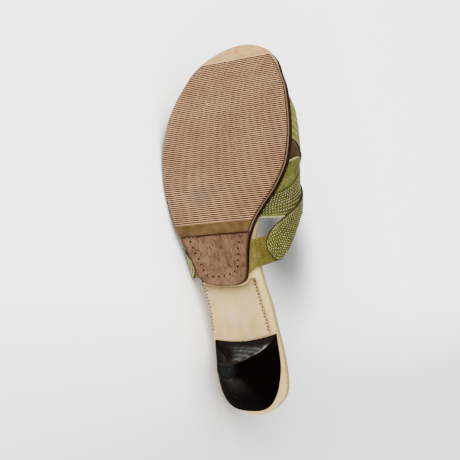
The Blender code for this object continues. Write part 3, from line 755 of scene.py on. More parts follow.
# %% Insole
insole_share = end_stations(0.0, TOE_X - RIM, 20.0, 18.5)
rings = plate(insole_sides, (0.0, TOE_X - RIM), bed, lambda x: bed(x) + insole_thickness(x),
              low_radius=1.0, high_radius=1.2, share=insole_share)
insole = make_piece("wrapped_insole", (insole_leather,), *tube(rings))
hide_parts("insole")

# %% [markdown]
# ## The ribbed half sole
#
# A thin sheet of rubber, glued under the ball against slipping, with fine straight ribs across it, a little
# aslant.  Displacing a dense plane would take ten times the faces.  Here the rows of the grid run along the
# ribs, and only across them does the face go up and down, as a rounded wave.  The wave's height is kept as a
# field, so that the grooves can be painted dark, as dirt and as painted shade.

# %% Ribbed half sole
RIB_PITCH, RIB_DEPTH = 1.355, 0.5
RIB_STEPS = 8                   # rows of the grid for one rib
RIB_START = 129.6               # behind this the rubber is a plain band
RIB_COLUMNS = 29                # points along a rib

# slant of the grid rows along the half sole: x, degrees
ROW_SLANT = ((122, 1.65), (132, 2.4), (155, 2.0), (190, 2.1), (220, 2.6), (240, 2.3))


def ribbed_rings():
    """Rows along the ribs; each ring goes over the ribbed face and back over the hidden one."""
    start = np.concatenate([np.arange(RUBBER_ENDS[0], RIB_START, 1.0),
                            np.arange(RIB_START, RUBBER_ENDS[1], RIB_PITCH / RIB_STEPS), [RUBBER_ENDS[1]]])
    slant = np.tan(np.radians(smooth(ROW_SLANT, 1, start)))
    x_outer, x_inner = start.copy(), start.copy()
    for _ in range(6):      # where a slanting row meets the outline depends on the outline there
        outer = outsole_sides(x_outer, RUBBER_INSET)[0]
        inner = outsole_sides(x_inner, RUBBER_INSET)[1]
        x_outer, x_inner = start + outer * slant, start + inner * slant
    across = np.linspace(0, 1, RIB_COLUMNS)
    y = between(outer[:, None], inner[:, None], across)
    x = start[:, None] + y * slant[:, None]
    wave = np.broadcast_to(ripple((start - RIB_START - RIB_PITCH / 2) / RIB_PITCH)[:, None], y.shape)
    ribbed = ((start > RIB_START) & (start < RUBBER_ENDS[1] - 0.4))[:, None]
    rise = 1 - ribbed * (1 - wave)
    top = tread(x) - GAP
    face = np.stack([x, y, top - RUBBER + RIB_DEPTH * (1 - rise)], -1)
    back = np.stack([x, y, top], -1)[:, ::-1]
    plain = np.broadcast_to((start < RIB_START)[:, None] * 1.0, y.shape)
    fields = [np.concatenate([f, np.zeros_like(f)], axis=1) for f in (rise, plain)]
    return np.concatenate([face, back], axis=1), fields


rings, (rise, plain) = ribbed_rings()
points, quads, triangles = tube(rings)
half_sole = make_piece("ribbed_half_sole", (ribbed_rubber,), points, quads, triangles, crisp=80,
                       fields={"rise": np.append(rise, [0, 0]), "plain": np.append(plain, [0, 0])})
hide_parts("forefoot_rubber")

# %% [markdown]
# ## Waist cover
#
# A thin cream sheet closes the underside between the heel's breast and the outsole's tongue.  A boolean cut
# would leave ragged faces, so it is a wall between two grids: straight at the heel and hollowed in front to
# go round the tongue.  A field darkens it towards the tongue: a painted shadow of the tongue's edge.


# %% Waist cover
# the cover's painted shadow under the tongue: how dark it is at the tongue's edge, and mm in which it fades
SHADE, SHADE_REACH = 0.85, 4.5      # how dark the cover is at the tongue, and mm in which that fades
UNDER_SEAT = (0.6, 1.0)             # heights between which the heel turns into its seat
HOLLOW_LOW, HOLLOW_RISE, HOLLOW_SEAT = 0.56, 1.04, 1.8      # mm deep, more per height, more at the seat


def hollow(t):
    """How deep the heel's breast is hollowed at a height from 0 to 1: a slope and a rise under the seat."""
    return HOLLOW_LOW + HOLLOW_RISE * t + HOLLOW_SEAT * eased(t, UNDER_SEAT)


def breast_at(y):
    """x of the heel's breast at the seat, at a distance across the shoe."""
    _, _, outer_x, inner_x, outer_w, inner_w = HEEL[-1]
    across = (y + outer_w) / (outer_w + inner_w)
    return between(outer_x, inner_x, across) - hollow(1.0) * 4 * across * (1 - across)


def cover_grids(rows=60, columns=61):
    """Underside and top of the cover, its edges thinned to a soft corner."""
    across = np.linspace(0, 1, columns)
    across = across - 0.35 * np.sin(2 * np.pi * across) / (2 * np.pi)      # closer at the edges
    y_front = between(*smooth_pair(COVER_SIDES, TONGUE_X), across)
    tongue = np.linspace(TONGUE_X + 0.01, COVER_FRONT_X, 400)
    left, right = outsole_sides(tongue)
    reach = np.full(across.shape, COVER_FRONT_X)
    for nudge in (-COVER_SLACK, 0.0, COVER_SLACK):
        y = y_front + nudge
        outer_half = y < (left[0] + right[0]) / 2
        near = np.where(outer_half, np.interp(-y, -left, tongue), np.interp(y, right, tongue))
        reach = np.minimum(reach, near)
    front = reach - 3 * GAP
    outer, inner = smooth(COVER_SIDES, 1, HEEL[-1][2]), smooth(COVER_SIDES, 2, HEEL[-1][3])
    back = breast_at(between(outer, inner, across)) + 3 * GAP
    along = (1 - np.cos(np.linspace(0, np.pi, rows))) / 2
    x = between(back, front, along[:, None])
    outer, inner = smooth_pair(COVER_SIDES, x)
    y = between(outer, inner, across)
    thin = 0.5 * (1 - round_end(np.minimum(y - outer, inner - y), 0.9, 2.0))
    top = np.stack([x, y, bed(x) - GAP], -1)
    under = np.stack([x, y, bed(x) - GAP - COVER + thin], -1)
    return top, under, SHADE * np.exp(-(front - x) / SHADE_REACH)


top, under, shade = cover_grids()
print("cover, mm long at its middle:", round(float(np.ptp(under[:, 30, 0])), 1))
# the shade field is the painted shadow of the tongue's edge
cover = make_piece("cover_sheet", (cover_leather,), *wall(top, under),
                   fields={"shade": np.append(shade, shade)})
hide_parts("waist_cover")

# %% [markdown]
# ## Heel and top lift
#
# A kitten heel is a low moulded block that narrows fast and curves in from the seat.  It could be carved from
# a cylinder, but its plan changes all the way down, so it is a stack of D-shaped outlines: the back is a
# squarish half ellipse, the breast, the face towards the toe, is hollowed.  Averaging each outline along
# itself softens its corners, as thick lacquer does.


# %% Heel outlines
OUTLINE_POINTS = 180
SQUARE, SQUARE_SEAT = 2.5, 0.6      # the superellipse's power, and what the seat adds to it
CORNER_IN = 0.09                    # how far the seat's inner corner is drawn in, as a share of the width


def heel_outline(t, inset=0.0, count=72, breast=30, soften=0.5):
    """Plan of the heel at a height: half a superellipse round the back, a parabola along the breast."""
    back, outer_x, inner_x, outer_w, inner_w = (float(smooth(HEEL, c, t)) for c in range(1, 6))
    back, outer_x, inner_x = back + inset, outer_x - inset, inner_x - inset
    outer_w, inner_w = outer_w - inset, inner_w - inset
    angle = np.linspace(0, np.pi, count)
    reach, depth = np.cos(angle), np.sin(angle)
    power = 2 / (SQUARE + SQUARE_SEAT * eased(t, UNDER_SEAT))
    y = np.sign(reach) * np.abs(reach) ** power
    front = between(outer_x, inner_x, (1 + y) / 2)
    x = front - (front - back) * depth ** power
    y = np.where(y > 0, y * inner_w, y * outer_w)
    y = y * (1 - CORNER_IN * (y > 0) * eased(x, (30.0, inner_x)) * eased(t, UNDER_SEAT))
    across = np.linspace(0, 1, breast)[1:-1]
    breast_x = between(outer_x, inner_x, across) - hollow(t) * 4 * across * (1 - across)
    breast_y = between(-outer_w, inner_w, across)
    ring = np.stack([np.concatenate([x, breast_x]), np.concatenate([y, breast_y])], -1)
    closed = np.concatenate([ring, ring[:1]])
    length = walked(closed)
    even = np.linspace(0, length[-1], OUTLINE_POINTS + 1)[:-1]
    ring = np.stack([np.interp(even, length, closed[:, i]) for i in (0, 1)], -1)
    reach = max(1, int(round(soften / (length[-1] / OUTLINE_POINTS))))
    weights = np.ones(2 * reach + 1) / (2 * reach + 1)
    wrapped = np.concatenate([ring[-reach:], ring, ring[:reach]])
    ring = np.stack([np.convolve(wrapped[:, i], weights, mode="valid") for i in (0, 1)], -1)
    return ring[:, 0], ring[:, 1]


def heel_rings():
    """Outlines from the lift up to the seat, with a small round at both rims, and the level of each."""
    rings = []
    low = LIFT + 0.03       # the heel all but touches its lift
    levels = [(0.0, 0.4, 0.0), (0.0, 0.12, 0.1)]        # height from 0 to 1, inset, mm that it is raised
    levels += [(t, 0.0, 0.0) for t in np.linspace(0.012, 0.985, 60)]
    levels += [(0.996, 0.1, 0.0), (1.0, 0.45, 0.0)]
    for t, inset, raised in levels:
        x, y = heel_outline(t, inset)
        rings.append(np.stack([x, y, between(low, bed(x) - GAP, t) + raised], -1))
    return np.array(rings), np.array([t for t, _, _ in levels])


def lift_rings(bevel=0.5):
    """Straight sides with a rounded rim at the floor."""
    rings = []
    for inset, z in ((2.5, 0.0), (2.2, 0.0), (2.0, 0.25), (1.7, 0.25), (1.5, 0.0), (bevel, 0.0), (0.15, 0.15),
                     (0.0, bevel), (0.0, LIFT - 0.2), (0.15, LIFT)):
        x, y = heel_outline(0.0, inset, soften=0.3)
        rings.append(np.stack([x, y, np.full_like(x, z)], -1))
    return np.array(rings)


print("heel, mm wide at the seat and at the lift:",
      [round(float(np.ptp(heel_outline(t)[1])), 1) for t in (1.0, 0.0)])

# %% [markdown]
# ### The heel and its strokes
#
# The outlines become one closed tube.  The brushed strokes could be bump, but they show mainly as light and
# dark, so they are painted as fields: "lit" says where the crescent of painted highlight is, "swirl" draws
# the strokes in it and a third field the faint painted highlights in arcs on the side.

# %% Heel
STROKE = 2.4            # mm from one brush stroke to the next
ARCS = 9                # faint arcs between lift and seat
rings, levels = heel_rings()
points, quads, triangles = tube(rings)
level = np.append(np.repeat(levels, rings.shape[1]), [0.0, 1.0])
inner_w, outer_w = smooth(HEEL, 5, level), -smooth(HEEL, 4, level)
front = (smooth(HEEL, 2, level) + smooth(HEEL, 3, level)) / 2
across = (points[:, 1] - outer_w) / (inner_w - outer_w)
on_breast = (points[:, 0] > front - 5.5) & (np.abs(across - 0.5) < 0.47)
# where the crescent of painted highlight lies on the breast
lit = eased(level, (0.25, 0.45)) * (1 - eased(level + 0.12 * (across - 0.5), (0.86, 0.95)))
lit = lit * eased(across, (0.18, 0.45)) * (1 - eased(across, (0.93, 0.99)))
turns = points[:, 0] / STROKE + 3 * (across - 0.45) ** 2
swirl = 0.5 + 0.1 * np.sin(2 * np.pi * turns) + 0.1 * np.sin(2 * np.pi * turns * 2.63)
# a painted highlight along the breast's inner edge
swirl = np.maximum(swirl, 1.1 * bump(across, 0.9, 0.04) * eased(level, (0.5, 0.7)))
# faint painted highlights in arcs on the outer side, towards the back
arc_highlights = np.sin(2 * np.pi * (level * ARCS + 0.06 * points[:, 0])) ** 8 * bump(level, 0.62, 0.22)
arc_highlights = 0.7 * arc_highlights * eased(-points[:, 1], (2.0, 8.0)) * eased(-points[:, 0], (-34.0, -22.0))
paint = np.append(on_breast[quads].all(1), np.zeros(len(triangles)))
heel = make_piece("kitten_heel", (heel_lacquer, brushed_lacquer_with_painted_highlight), points, quads, triangles,
                  fields={"lit": lit, "swirl": swirl, "arc_highlights": arc_highlights}, paint=paint, crisp=50)
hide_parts("heel")

# %% [markdown]
# ### The top lift
#
# The rubber tip that meets the floor, a slice of the heel's lowest outline.  A moulded groove runs round its
# tread; it is real relief in the rings, and a field darkens it and the rounded rim.

# %% Top lift
rings = lift_rings()
points, quads, triangles = tube(rings)
grooved = np.zeros(rings.shape[:2])
grooved[2:4], grooved[5:8] = 1.0, 0.8       # the rings of the groove's floor and of the rounded rim
lift = make_piece("lift_tread", (lift_rubber,), points, quads, triangles,
                  fields={"rim": np.append(grooved, [0, 0])}, crisp=50)
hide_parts("top_lift")

# %% [markdown]
# ## The last's surface
#
# Straps are pulled over the last, so they take its form.  Flat strips could be shrink-wrapped on to a mesh of
# it, but nothing would say where a strap's edge runs.  Here a point on the last is named by x and by its
# place round the section: 1 at the inner sole edge, 0 at the crest, -1 at the outer sole edge.  Half a
# section is two Bezier curves, sole edge to bulge and bulge to crest, and equal steps along their length are
# equal steps of place.


# %% Points and normals of the last
HALF_POINTS = 120
HALF_GIRTH = 75.0       # length of half a section at the instep
HEART = (2.0, 14.0)     # middle of the foot: y, height over the bed
INNER_UPRIGHT = 0.55    # how upright the inner side stays above its bulge
SHOULDER = 0.55         # how broad the crest is, as a share of the way to the bulge
SOLE_PULL = 0.45        # how soon the side turns up from the sole, as a share of the bulge's height


def bezier(t, *controls):
    """Bezier curve: the control points' mean, weighted by binomial (1 - t)^(n - k) t^k."""
    n = len(controls) - 1
    return sum(math.comb(n, k) * (1 - t) ** (n - k) * t ** k * point for k, point in enumerate(controls))


def half_section(x, inner_side):
    """Half a section of the last for each x: two Bezier curves, as y and z rows."""
    sign = 1.0 if inner_side else -1.0
    outer, inner = insole_sides(x)
    foot = (inner if inner_side else outer) + sign * GAP
    bulge = smooth(LAST, 4 if inner_side else 1, x)
    bulge = np.where(sign * (bulge - foot) < 0, foot, bulge)
    rise = smooth(LAST, 5 if inner_side else 2, x)
    centre, top = smooth(LAST, 6, x), smooth(LAST, 7, x)
    full = INNER_UPRIGHT if inner_side else smooth(LAST, 3, x)[:, None]
    t = np.linspace(0, 1, HALF_POINTS)[None, :]
    foot, bulge, rise, centre, top = (v[:, None] for v in (foot, bulge, rise, centre, top))
    u = t[:, 1:]
    y = [bezier(t, foot, bulge, bulge), bezier(u, bulge, bulge, between(centre, bulge, SHOULDER), centre)]
    z = [bezier(t, 0, SOLE_PULL * rise, rise), bezier(u, rise, between(rise, top, full), top, top)]
    return np.concatenate(y, axis=1), np.concatenate(z, axis=1) + bed(x)[:, None]


def last_point(x, place):
    """Points of the last at x and place, by length along its section."""
    x, place = np.broadcast_arrays(np.asarray(x, dtype=float), np.asarray(place, dtype=float))
    flat_x, flat_place = x.ravel(), place.ravel()
    found = np.zeros((flat_x.size, 3))
    for inner_side in (True, False):
        chosen = flat_place >= 0 if inner_side else flat_place < 0
        if not chosen.any():
            continue
        y, z = half_section(flat_x[chosen], inner_side)
        length = walked(np.stack([y, z], -1), axis=1)
        wanted = (1 - np.abs(flat_place[chosen])) * length[:, -1]
        i = np.clip((length <= wanted[:, None]).sum(1) - 1, 0, length.shape[1] - 2)
        rows = np.arange(len(i))
        share = (wanted - length[rows, i]) / np.maximum(length[rows, i + 1] - length[rows, i], 1e-9)
        found[chosen, 0] = flat_x[chosen]
        for axis, values in ((1, y), (2, z)):
            found[chosen, axis] = between(values[rows, i], values[rows, i + 1], share)
    return found.reshape(x.shape + (3,))


def outward(points, normals):
    """Unit normals, turned away from the middle of the foot."""
    x = points[..., 0]
    heart = np.stack([x, np.full(x.shape, HEART[0]), bed(x) + HEART[1]], -1)
    normals = unit(normals)
    return normals * np.sign(np.sum(normals * (points - heart), axis=-1, keepdims=True))


def last_normal(x, place):
    """Unit normals of the last: the cross product of small steps along it and round it."""
    dx, dp = 0.4, 0.006
    along = last_point(x + dx, place) - last_point(x - dx, place)
    around = last_point(x, np.clip(place + dp, -1, 1)) - last_point(x, np.clip(place - dp, -1, 1))
    return outward(last_point(x, place), np.cross(along, around))


crest = last_point(np.array([127.0]), np.array([0.0]))
print("last over the instep, mm high:", round(float(crest[0, 2]), 1))

# %% [markdown]
# ## Straps that lie on one another
#
# Three bands cross over the foot, and short stays carry the ends of the two outer ones, the leaves.  Cloth
# simulation could drape them but would move their edges, so each is a wall that stands off the last by a
# formula and rises by a step where another strap is underneath.


# %% How high a strap stands
def cover_of(table, x, place):
    """1 where a strap covers a place on the last or nearly so, easing to 0 a little way outside it."""
    back, front = smooth_pair(table, place)
    inside = np.minimum(x - back, front - x)
    ends = np.array([row[0] for row in table])
    within = np.minimum(place - ends.min(), ends.max() - place) * HALF_GIRTH
    return eased(np.minimum(inside, within + 3.0), (-4.5, -0.5))


STAY_ON_LAST = ((STAY_TOP, *INNER_STAY[1]), (1.0, *INNER_STAY[0]))


def straps_under(layers, x, place):
    """How many straps lie under a place: for each layer, the most that one of its straps covers it."""
    return sum((np.maximum.reduce([cover_of(table, x, place) for table in layer]) for layer in layers),
               np.zeros(np.shape(x)))


LEAF_ROUND = 6.0        # radius of a leaf's end


def strap_edges(table, place, leaf_end, inset=0.0):
    """Back and front x of a strap at each place, moved inwards by an inset, round at a leaf's end."""
    back, front = smooth_pair(table, place)
    back, front = back + inset, front - inset
    if leaf_end:
        tip = table[-1][0]
        share = round_end(np.abs(place - tip) * HALF_GIRTH - inset + 0.02, LEAF_ROUND, 2.0)
        middle, half = (back + front) / 2, (front - back) / 2 * share
        back, front = middle - half, middle + half
    return back, front


def strap_places(table, rows, leaf_end):
    """Places of a strap's grid rows, closer together round a leaf's end."""
    start, stop = table[0][0], table[-1][0]
    if not leaf_end:
        return np.linspace(start, stop, rows)
    reach = LEAF_ROUND / HALF_GIRTH * np.sign(stop - start)
    turn = np.cos(np.linspace(0, np.pi / 2, 17))
    return np.concatenate([np.linspace(start, stop - reach, rows)[:-1], stop - reach * turn])


def strap_height(spec, x, place):
    """How far a strap's outer face stands off the last."""
    step = STEP - spec["under"] / max(1, len(spec["layers"]))
    return spec["under"] + step * straps_under(spec["layers"], x, place) + WALL


def on_strap(spec, x, place, lift=0.0):
    """Points on a strap's outer face, raised by a lift, and the normals there."""
    base, normal = last_point(x, place), last_normal(x, place)
    points = base + normal * (strap_height(spec, x, place) + lift)[..., None]
    points[..., 2] = np.maximum(points[..., 2], bed(x) + GAP / 2)
    return points, normal


# under: how far the lining stands off the last; layers: the straps below, those of one layer side by side
STRAPS = {
    "instep_band": dict(table=INSTEP_BAND, leaf_end=False, under=0.0, layers=()),
    "outer_leaf": dict(table=OUTER_LEAF_BAND, leaf_end=True, under=0.5, layers=((INSTEP_BAND, OUTER_STAY),)),
    "inner_leaf": dict(table=INNER_LEAF_BAND, leaf_end=True, under=0.85,
                       layers=((INSTEP_BAND, STAY_ON_LAST), (OUTER_LEAF_BAND,))),
    "outer_stay": dict(table=OUTER_STAY, leaf_end=False, under=0.0, layers=()),
}

# %% [markdown]
# ## Raised rows
#
# The straps are corded: rows of ridges run along them, held by stitches in the grooves.  Cords could be tubes
# laid on the strap, but here leather covers them, so the strap's own face rises.  On the band the rows follow
# its rear edge, on the leaves the front edge as far as the border.  A ridge is the arch of a sine between two
# grooves.

# %% Row patterns
ROW_PITCH, ROW_DEPTH = 1.5, 0.45
NEAREST_BLOCK = 2000    # points that edge_distance takes at a time, to spare memory


def edge_run(table, column, place):
    """How much longer a step in x is than the same step square to a strap's edge."""
    slope = smooth(table, column, place + 0.01) - smooth(table, column, place - 0.01)
    return np.sqrt(1 + (slope / (0.02 * HALF_GIRTH)) ** 2)


def fan(place):
    """The band's rows spread out from the sole edges towards the crest."""
    return 1 + 1.1 * eased(1 - np.abs(place), (0.0, 0.42))


def band_row(place, distance):
    """x on the instep band at a distance from its rear edge, counted in fanned rows."""
    return smooth(INSTEP_BAND, 1, place) + distance * fan(place) * edge_run(INSTEP_BAND, 1, place)


def leaf_row(table, place, distance):
    """x on a leaf at a distance from its front edge."""
    return smooth(table, 2, place) - distance * edge_run(table, 2, place)


def ridges_at(distance, first, count, pitch=ROW_PITCH):
    """Height of rows at a distance from an edge: arches between grooves, 1 where there are none."""
    k = (distance - first) / pitch
    arch = np.abs(np.sin(np.pi * k)) ** 0.6
    inside = (k > 0) & (k < count)
    return np.where(inside, arch, 1.0), inside


def edge_distance(points, wanted):
    """Distance from grid points to the nearest point of an edge line, block by block."""
    flat = points.reshape(-1, 3)
    found = np.empty(len(flat))
    for start in range(0, len(flat), NEAREST_BLOCK):
        block = slice(start, start + NEAREST_BLOCK)
        found[block] = np.sqrt(((flat[block, None] - wanted[None]) ** 2).sum(-1).min(1))
    return found.reshape(points.shape[:-1])


def strap_grids(spec, rows, columns, pattern):
    """Underside and outer grids of a strap with its pattern, and fields for its finish."""
    place = strap_places(spec["table"], rows, spec["leaf_end"])
    back, front = strap_edges(spec["table"], place, spec["leaf_end"])
    across = (1 - np.cos(np.linspace(0, np.pi, columns))) / 2
    across = 0.75 * np.linspace(0, 1, columns) + 0.25 * across      # a little closer at the edges
    x = between(back[:, None], front[:, None], across)
    place = np.broadcast_to(place[:, None], x.shape)
    base, normal = last_point(x, place), last_normal(x, place)
    outer = base + normal * strap_height(spec, x, place)[..., None]
    inner = base + normal * spec["under"]
    rear = walked(outer, axis=1)
    fore = rear[:, -1:] - rear
    edges = [outer[:, 0], outer[:, -1]] + ([outer[-1]] if spec["leaf_end"] else [])
    line = edge_distance(outer, np.concatenate(edges))
    height, rise, plain = pattern(rear, fore, line, x, place)
    rounding = 0.8 * (1 - round_end(line, 0.9, 2.0))
    outer = outer + normal * (height - rounding)[..., None]
    for grid in (inner, outer):
        grid[..., 2] = np.maximum(grid[..., 2], bed(x) + GAP / 2)
    return inner, outer, {"rise": rise, "plain": plain, "rim": eased(-line, (-0.9, -0.3))}


print("rows on a leaf 26 mm wide:", round(26 / ROW_PITCH))

# %% [markdown]
# ### A pattern for each strap
#
# The instep band has rows at the back and is smooth in front; the inner leaf is corded all over; the outer
# leaf is smooth kid with soft folds and has rows only towards its own end.  Each pattern is a formula that
# gives a height for the mesh and a field for the finish, so both always agree.

# %% Strap patterns
# first groove's distance from the edge and count of ridges, on the band and on a leaf
BAND_FIRST, BAND_ROWS, BAND_PITCH = 1.8, 8, 1.6
LEAF_FIRST, LEAF_ROWS = 1.4, 16
FOLD_PITCH = 3.4        # soft folds of the smooth parts


def band_pattern(rear, fore, line, x, place):
    """Rows over the rear two thirds, a smooth front with soft rumples near the inner sole edge."""
    distance = (x - smooth(INSTEP_BAND, 1, place)) / fan(place) / edge_run(INSTEP_BAND, 1, place)
    ridges, inside = ridges_at(distance, BAND_FIRST, BAND_ROWS, BAND_PITCH)
    folds = ripple((distance - 0.02 * distance ** 2) / FOLD_PITCH + 3 * place / (2 * np.pi))
    rumple = (folds - 0.5) * (0.7 * bump(place, 0.95, 0.2) + 0.25)
    height = np.where(inside, -ROW_DEPTH * (1 - ridges), rumple * eased(fore, (0.0, 1.5)))
    return height, np.where(inside, ridges, folds), np.where(inside, 0.0, 1.0)


def leaf_pattern(rear, fore, line, x, place, table=INNER_LEAF_BAND):
    """Rows side by side along the front edge, as far as the border."""
    distance = (smooth(table, 2, place) - x) / edge_run(table, 2, place)
    ridges, inside = ridges_at(distance, LEAF_FIRST, LEAF_ROWS)
    border = eased(line, (1.0, 1.8))
    ridges = 1 - (1 - ridges) * border
    groove = bump(line, 1.4, 0.35)
    return -ROW_DEPTH * (1 - ridges) - 0.25 * groove, ridges * (1 - 0.5 * groove), np.where(inside, 0.0, 1.0)


def front_pattern(rear, fore, line, x, place):
    """Smooth kid under two waves of soft folds, 4.3 and 1.9 mm apart; rows only towards the leaf's end."""
    near_end = eased(-place, (0.1, 0.3))
    height, ridges, plain = leaf_pattern(rear, fore, line, x, place, OUTER_LEAF_BAND)
    folds = 0.55 + 0.35 * np.cos(2 * np.pi * rear / 4.3 + 4 * place) + 0.15 * np.cos(2 * np.pi * rear / 1.9)
    smooth_part = 0.3 * (folds - 0.5) * eased(line, (0.0, 1.5))
    return (between(smooth_part, height, near_end), between(folds, ridges, near_end),
            1 - near_end * (1 - plain))


# %% [markdown]
# ### The three straps
#
# Each strap could be modelled alone, but with places, heights and patterns the three are rounds of one loop.
# The underside gets the lining, the outer face its own leather.

# %% Straps
PATTERNS = {"instep_band": (band_pattern, band_leather), "outer_leaf": (front_pattern, front_leather),
            "inner_leaf": (leaf_pattern, leaf_leather)}
for name, (pattern, finish) in PATTERNS.items():
    inner, outer, fields = strap_grids(STRAPS[name], rows=260, columns=150, pattern=pattern)
    points, quads = wall(inner, outer)
    lining = np.zeros(inner.shape[:-1])
    fields = {key: np.append(lining + (key == "plain"), values) for key, values in fields.items()}
    is_lining = np.arange(len(quads)) < (inner.shape[0] - 1) * (inner.shape[1] - 1)
    piece = make_piece(name, (finish, lining_leather), points, quads, fields=fields, paint=is_lining,
                       crisp=70)
    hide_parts("upper")

# %% [markdown]
# ## Stays
#
# A stay is the strip that a leaf ends on.  The inner one comes out beside the outsole's tongue, turns round
# the insole's edge and goes up the last.  Bent planes would have to be stitched at the turn; one grid walks
# all three parts.  Slanting grooves are pressed into its face.  Real ones are about 1 mm apart and would not
# show, so they are drawn 1.9 mm apart.

# %% Stays
SCORE_PITCH, SCORE_LEAN, SCORE_DEPTH = 1.9, -1.1, 0.12
FOLD_RADIUS = 1.0       # of the turn round the insole's edge


def inner_stay_grids(rows, columns):
    """The inner stay: from the tongue's edge, under and round the insole's edge, and up the last."""
    across = np.linspace(0, 1, columns)
    (back, front), (top_back, top_front) = INNER_STAY
    first, x = between(*STAY_START, across), between(back, front, across)
    turn_y = insole_sides(x)[1] - FOLD_RADIUS
    start = np.minimum(outsole_sides(first)[1] + 2 * GAP, turn_y - 1)
    lines = []
    for share in np.linspace(0, 1, 40):
        here = between(first, x, share)
        lines.append(np.stack([here, between(start, turn_y, share), bed(here) - GAP], -1))
    for angle in np.radians(np.linspace(0, 90, 13)[1:]):
        lines.append(np.stack([x, turn_y + (FOLD_RADIUS + GAP) * np.sin(angle),
                               bed(x) - GAP + (FOLD_RADIUS + GAP) * (1 - np.cos(angle))], -1))
    for share in np.linspace(0.08, 1, rows):
        here = between(between(back, top_back, share), between(front, top_front, share), across)
        lines.append(last_point(here, 1 - (1 - STAY_TOP) * share))
    inner = np.array(lines)
    along, over = np.gradient(inner, axis=0), np.gradient(inner, axis=1)
    return inner, inner + outward(inner, np.cross(along, over)) * WALL


def scored(inner, outer):
    """Slanting grooves pressed into a stay's outer face, and how deep each point lies in them."""
    groove = ripple((walked(outer, axis=1) + SCORE_LEAN * walked(outer)) / SCORE_PITCH) ** 2
    return outer - unit(outer - inner) * (SCORE_DEPTH * groove)[..., None], groove


stay_grids = {"inner_stay": inner_stay_grids(rows=110, columns=130),
              "outer_stay": strap_grids(STRAPS["outer_stay"], rows=90, columns=110, pattern=leaf_pattern)[:2]}
for name, (inner, outer) in stay_grids.items():
    outer, groove = scored(inner, outer)
    piece = make_piece(name, (stay_leather,), *wall(inner, outer),
                       fields={"rim": np.append(np.zeros(groove.shape), groove)})
    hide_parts("upper")

# %% [markdown]
# ## Stitches
#
# Stitches could be instances on a curve, but thousands of objects are slow to handle, so all the stitches of
# a strap are one mesh.  A stitch is a little capsule: a hexagon that swells from nothing to its full width
# and back along the thread, flattened against the leather.


# %% Stitch maker
SIDES = 6                                   # of a stitch's section
STATIONS = ((0.06, 0.55), (0.3, 1.0), (0.7, 1.0), (0.94, 0.55))     # share of its length, of its width


def below(x, y, z):
    """A path on the underside, with normals that point down."""
    return np.stack([x, y, z], -1), np.tile([0.0, 0.0, -1.0], (len(x), 1))


def along_path(path, normals, pitch, share, start=0.0):
    """Starts, ends and normals of stitches every pitch along a path, each filling a share of it."""
    length = walked(path)
    head = np.arange(start, length[-1] - pitch * share, pitch)
    tail = head + pitch * share
    a, b, n = (np.stack([np.interp(at, length, values[:, i]) for i in range(3)], -1)
               for at, values in ((head, path), (tail, path), ((head + tail) / 2, normals)))
    return a, b, unit(n)


def capsules(runs, width, height, skew=0.0):
    """Points, quads and triangles of a capsule for each start and end in the runs."""
    a, b, n = (np.concatenate(parts) for parts in zip(*runs))
    way = b - a
    size = np.linalg.norm(way, axis=1, keepdims=True)
    way = way / size
    side = unit(np.cross(n, way))
    way = way + side * skew
    angle = np.arange(SIDES) * 2 * np.pi / SIDES
    ring = (np.cos(angle)[:, None, None] * side * width / 2 + np.sin(angle)[:, None, None] * n * height / 2)
    middle = (a + b) / 2
    rings = [middle + way * size * (station - 0.5) + ring * swell for station, swell in STATIONS]
    tips = np.stack([middle - way * size / 2, middle + way * size / 2])
    points = np.concatenate([*rings, tips]).transpose(1, 0, 2)
    count, each = points.shape[:2]
    shift = (np.arange(count) * each)[:, None, None]
    _, quads, triangles = tube(np.zeros((len(STATIONS), SIDES, 3)))
    return points.reshape(-1, 3), (quads + shift).reshape(-1, 4), (triangles + shift).reshape(-1, 3)


# %% [markdown]
# ### Stitches of the straps
#
# Pale stitches sit in the grooves between the ridges and hold the cords down; a leaf has one more line round
# its border, and the band a rope stitch over its rear edge.  They could be set by hand, but the ridges' own
# row formulas place them exactly.  Real ones are a little closer than the render can show, so these are drawn
# coarser.


# %% Stitches of the straps
GOLDEN = 0.618          # shifts each row's first stitch, so that rows don't line up
SHORTEST_RUN = 12       # points of a path below which a row gets no stitches


def leaf_loop(spec, inset, start_place, points=400):
    """Path at an inset from a leaf's outline: up the back edge, round the end and down the front edge."""
    tip = spec["table"][-1][0]
    sign = np.sign(tip - spec["table"][0][0])
    end = tip - sign * (inset - 0.02) / HALF_GIRTH
    turn = 1 - (1 - np.linspace(0, 1, points)) ** 2
    place = between(start_place, end, turn)
    back, front = strap_edges(spec["table"], place, True, inset)
    x = np.concatenate([back, front[::-1]])
    return x, np.concatenate([place, place[::-1]])


def row_runs(spec, row, places, counts, pitch, share, lift=-0.15):
    """Stitches along rows of a strap: row(place, k) gives x; what falls outside the strap is left out."""
    runs = []
    for k in counts:
        x = row(places, k)
        back, front = strap_edges(spec["table"], places, spec["leaf_end"], 0.8)
        kept = np.flatnonzero((x > back) & (x < front))
        for part in np.split(kept, np.flatnonzero(np.diff(kept) > 1) + 1):
            if len(part) >= SHORTEST_RUN:
                path = on_strap(spec, x[part], places[part], lift)
                runs.append(along_path(*path, pitch, share, start=0.2 + pitch * ((k * GOLDEN) % 1)))
    return runs


spec = STRAPS["instep_band"]
places = np.linspace(1.0, -1.0, 500)
runs = row_runs(spec, lambda p, k: band_row(p, BAND_FIRST + k * BAND_PITCH), places, range(BAND_ROWS + 1),
                pitch=2.0, share=0.58)
band_stitches = make_piece("band_stitches", (thread_lime,), *capsules(runs, width=0.62, height=0.5, skew=0.3))
path = on_strap(spec, strap_edges(spec["table"], places, False)[0] + 0.7, places, lift=-0.1)
rope = make_piece("band_edge_rope", (thread_lime,),
                  *capsules([along_path(*path, pitch=1.5, share=0.95)], width=0.95, height=0.8, skew=0.25))

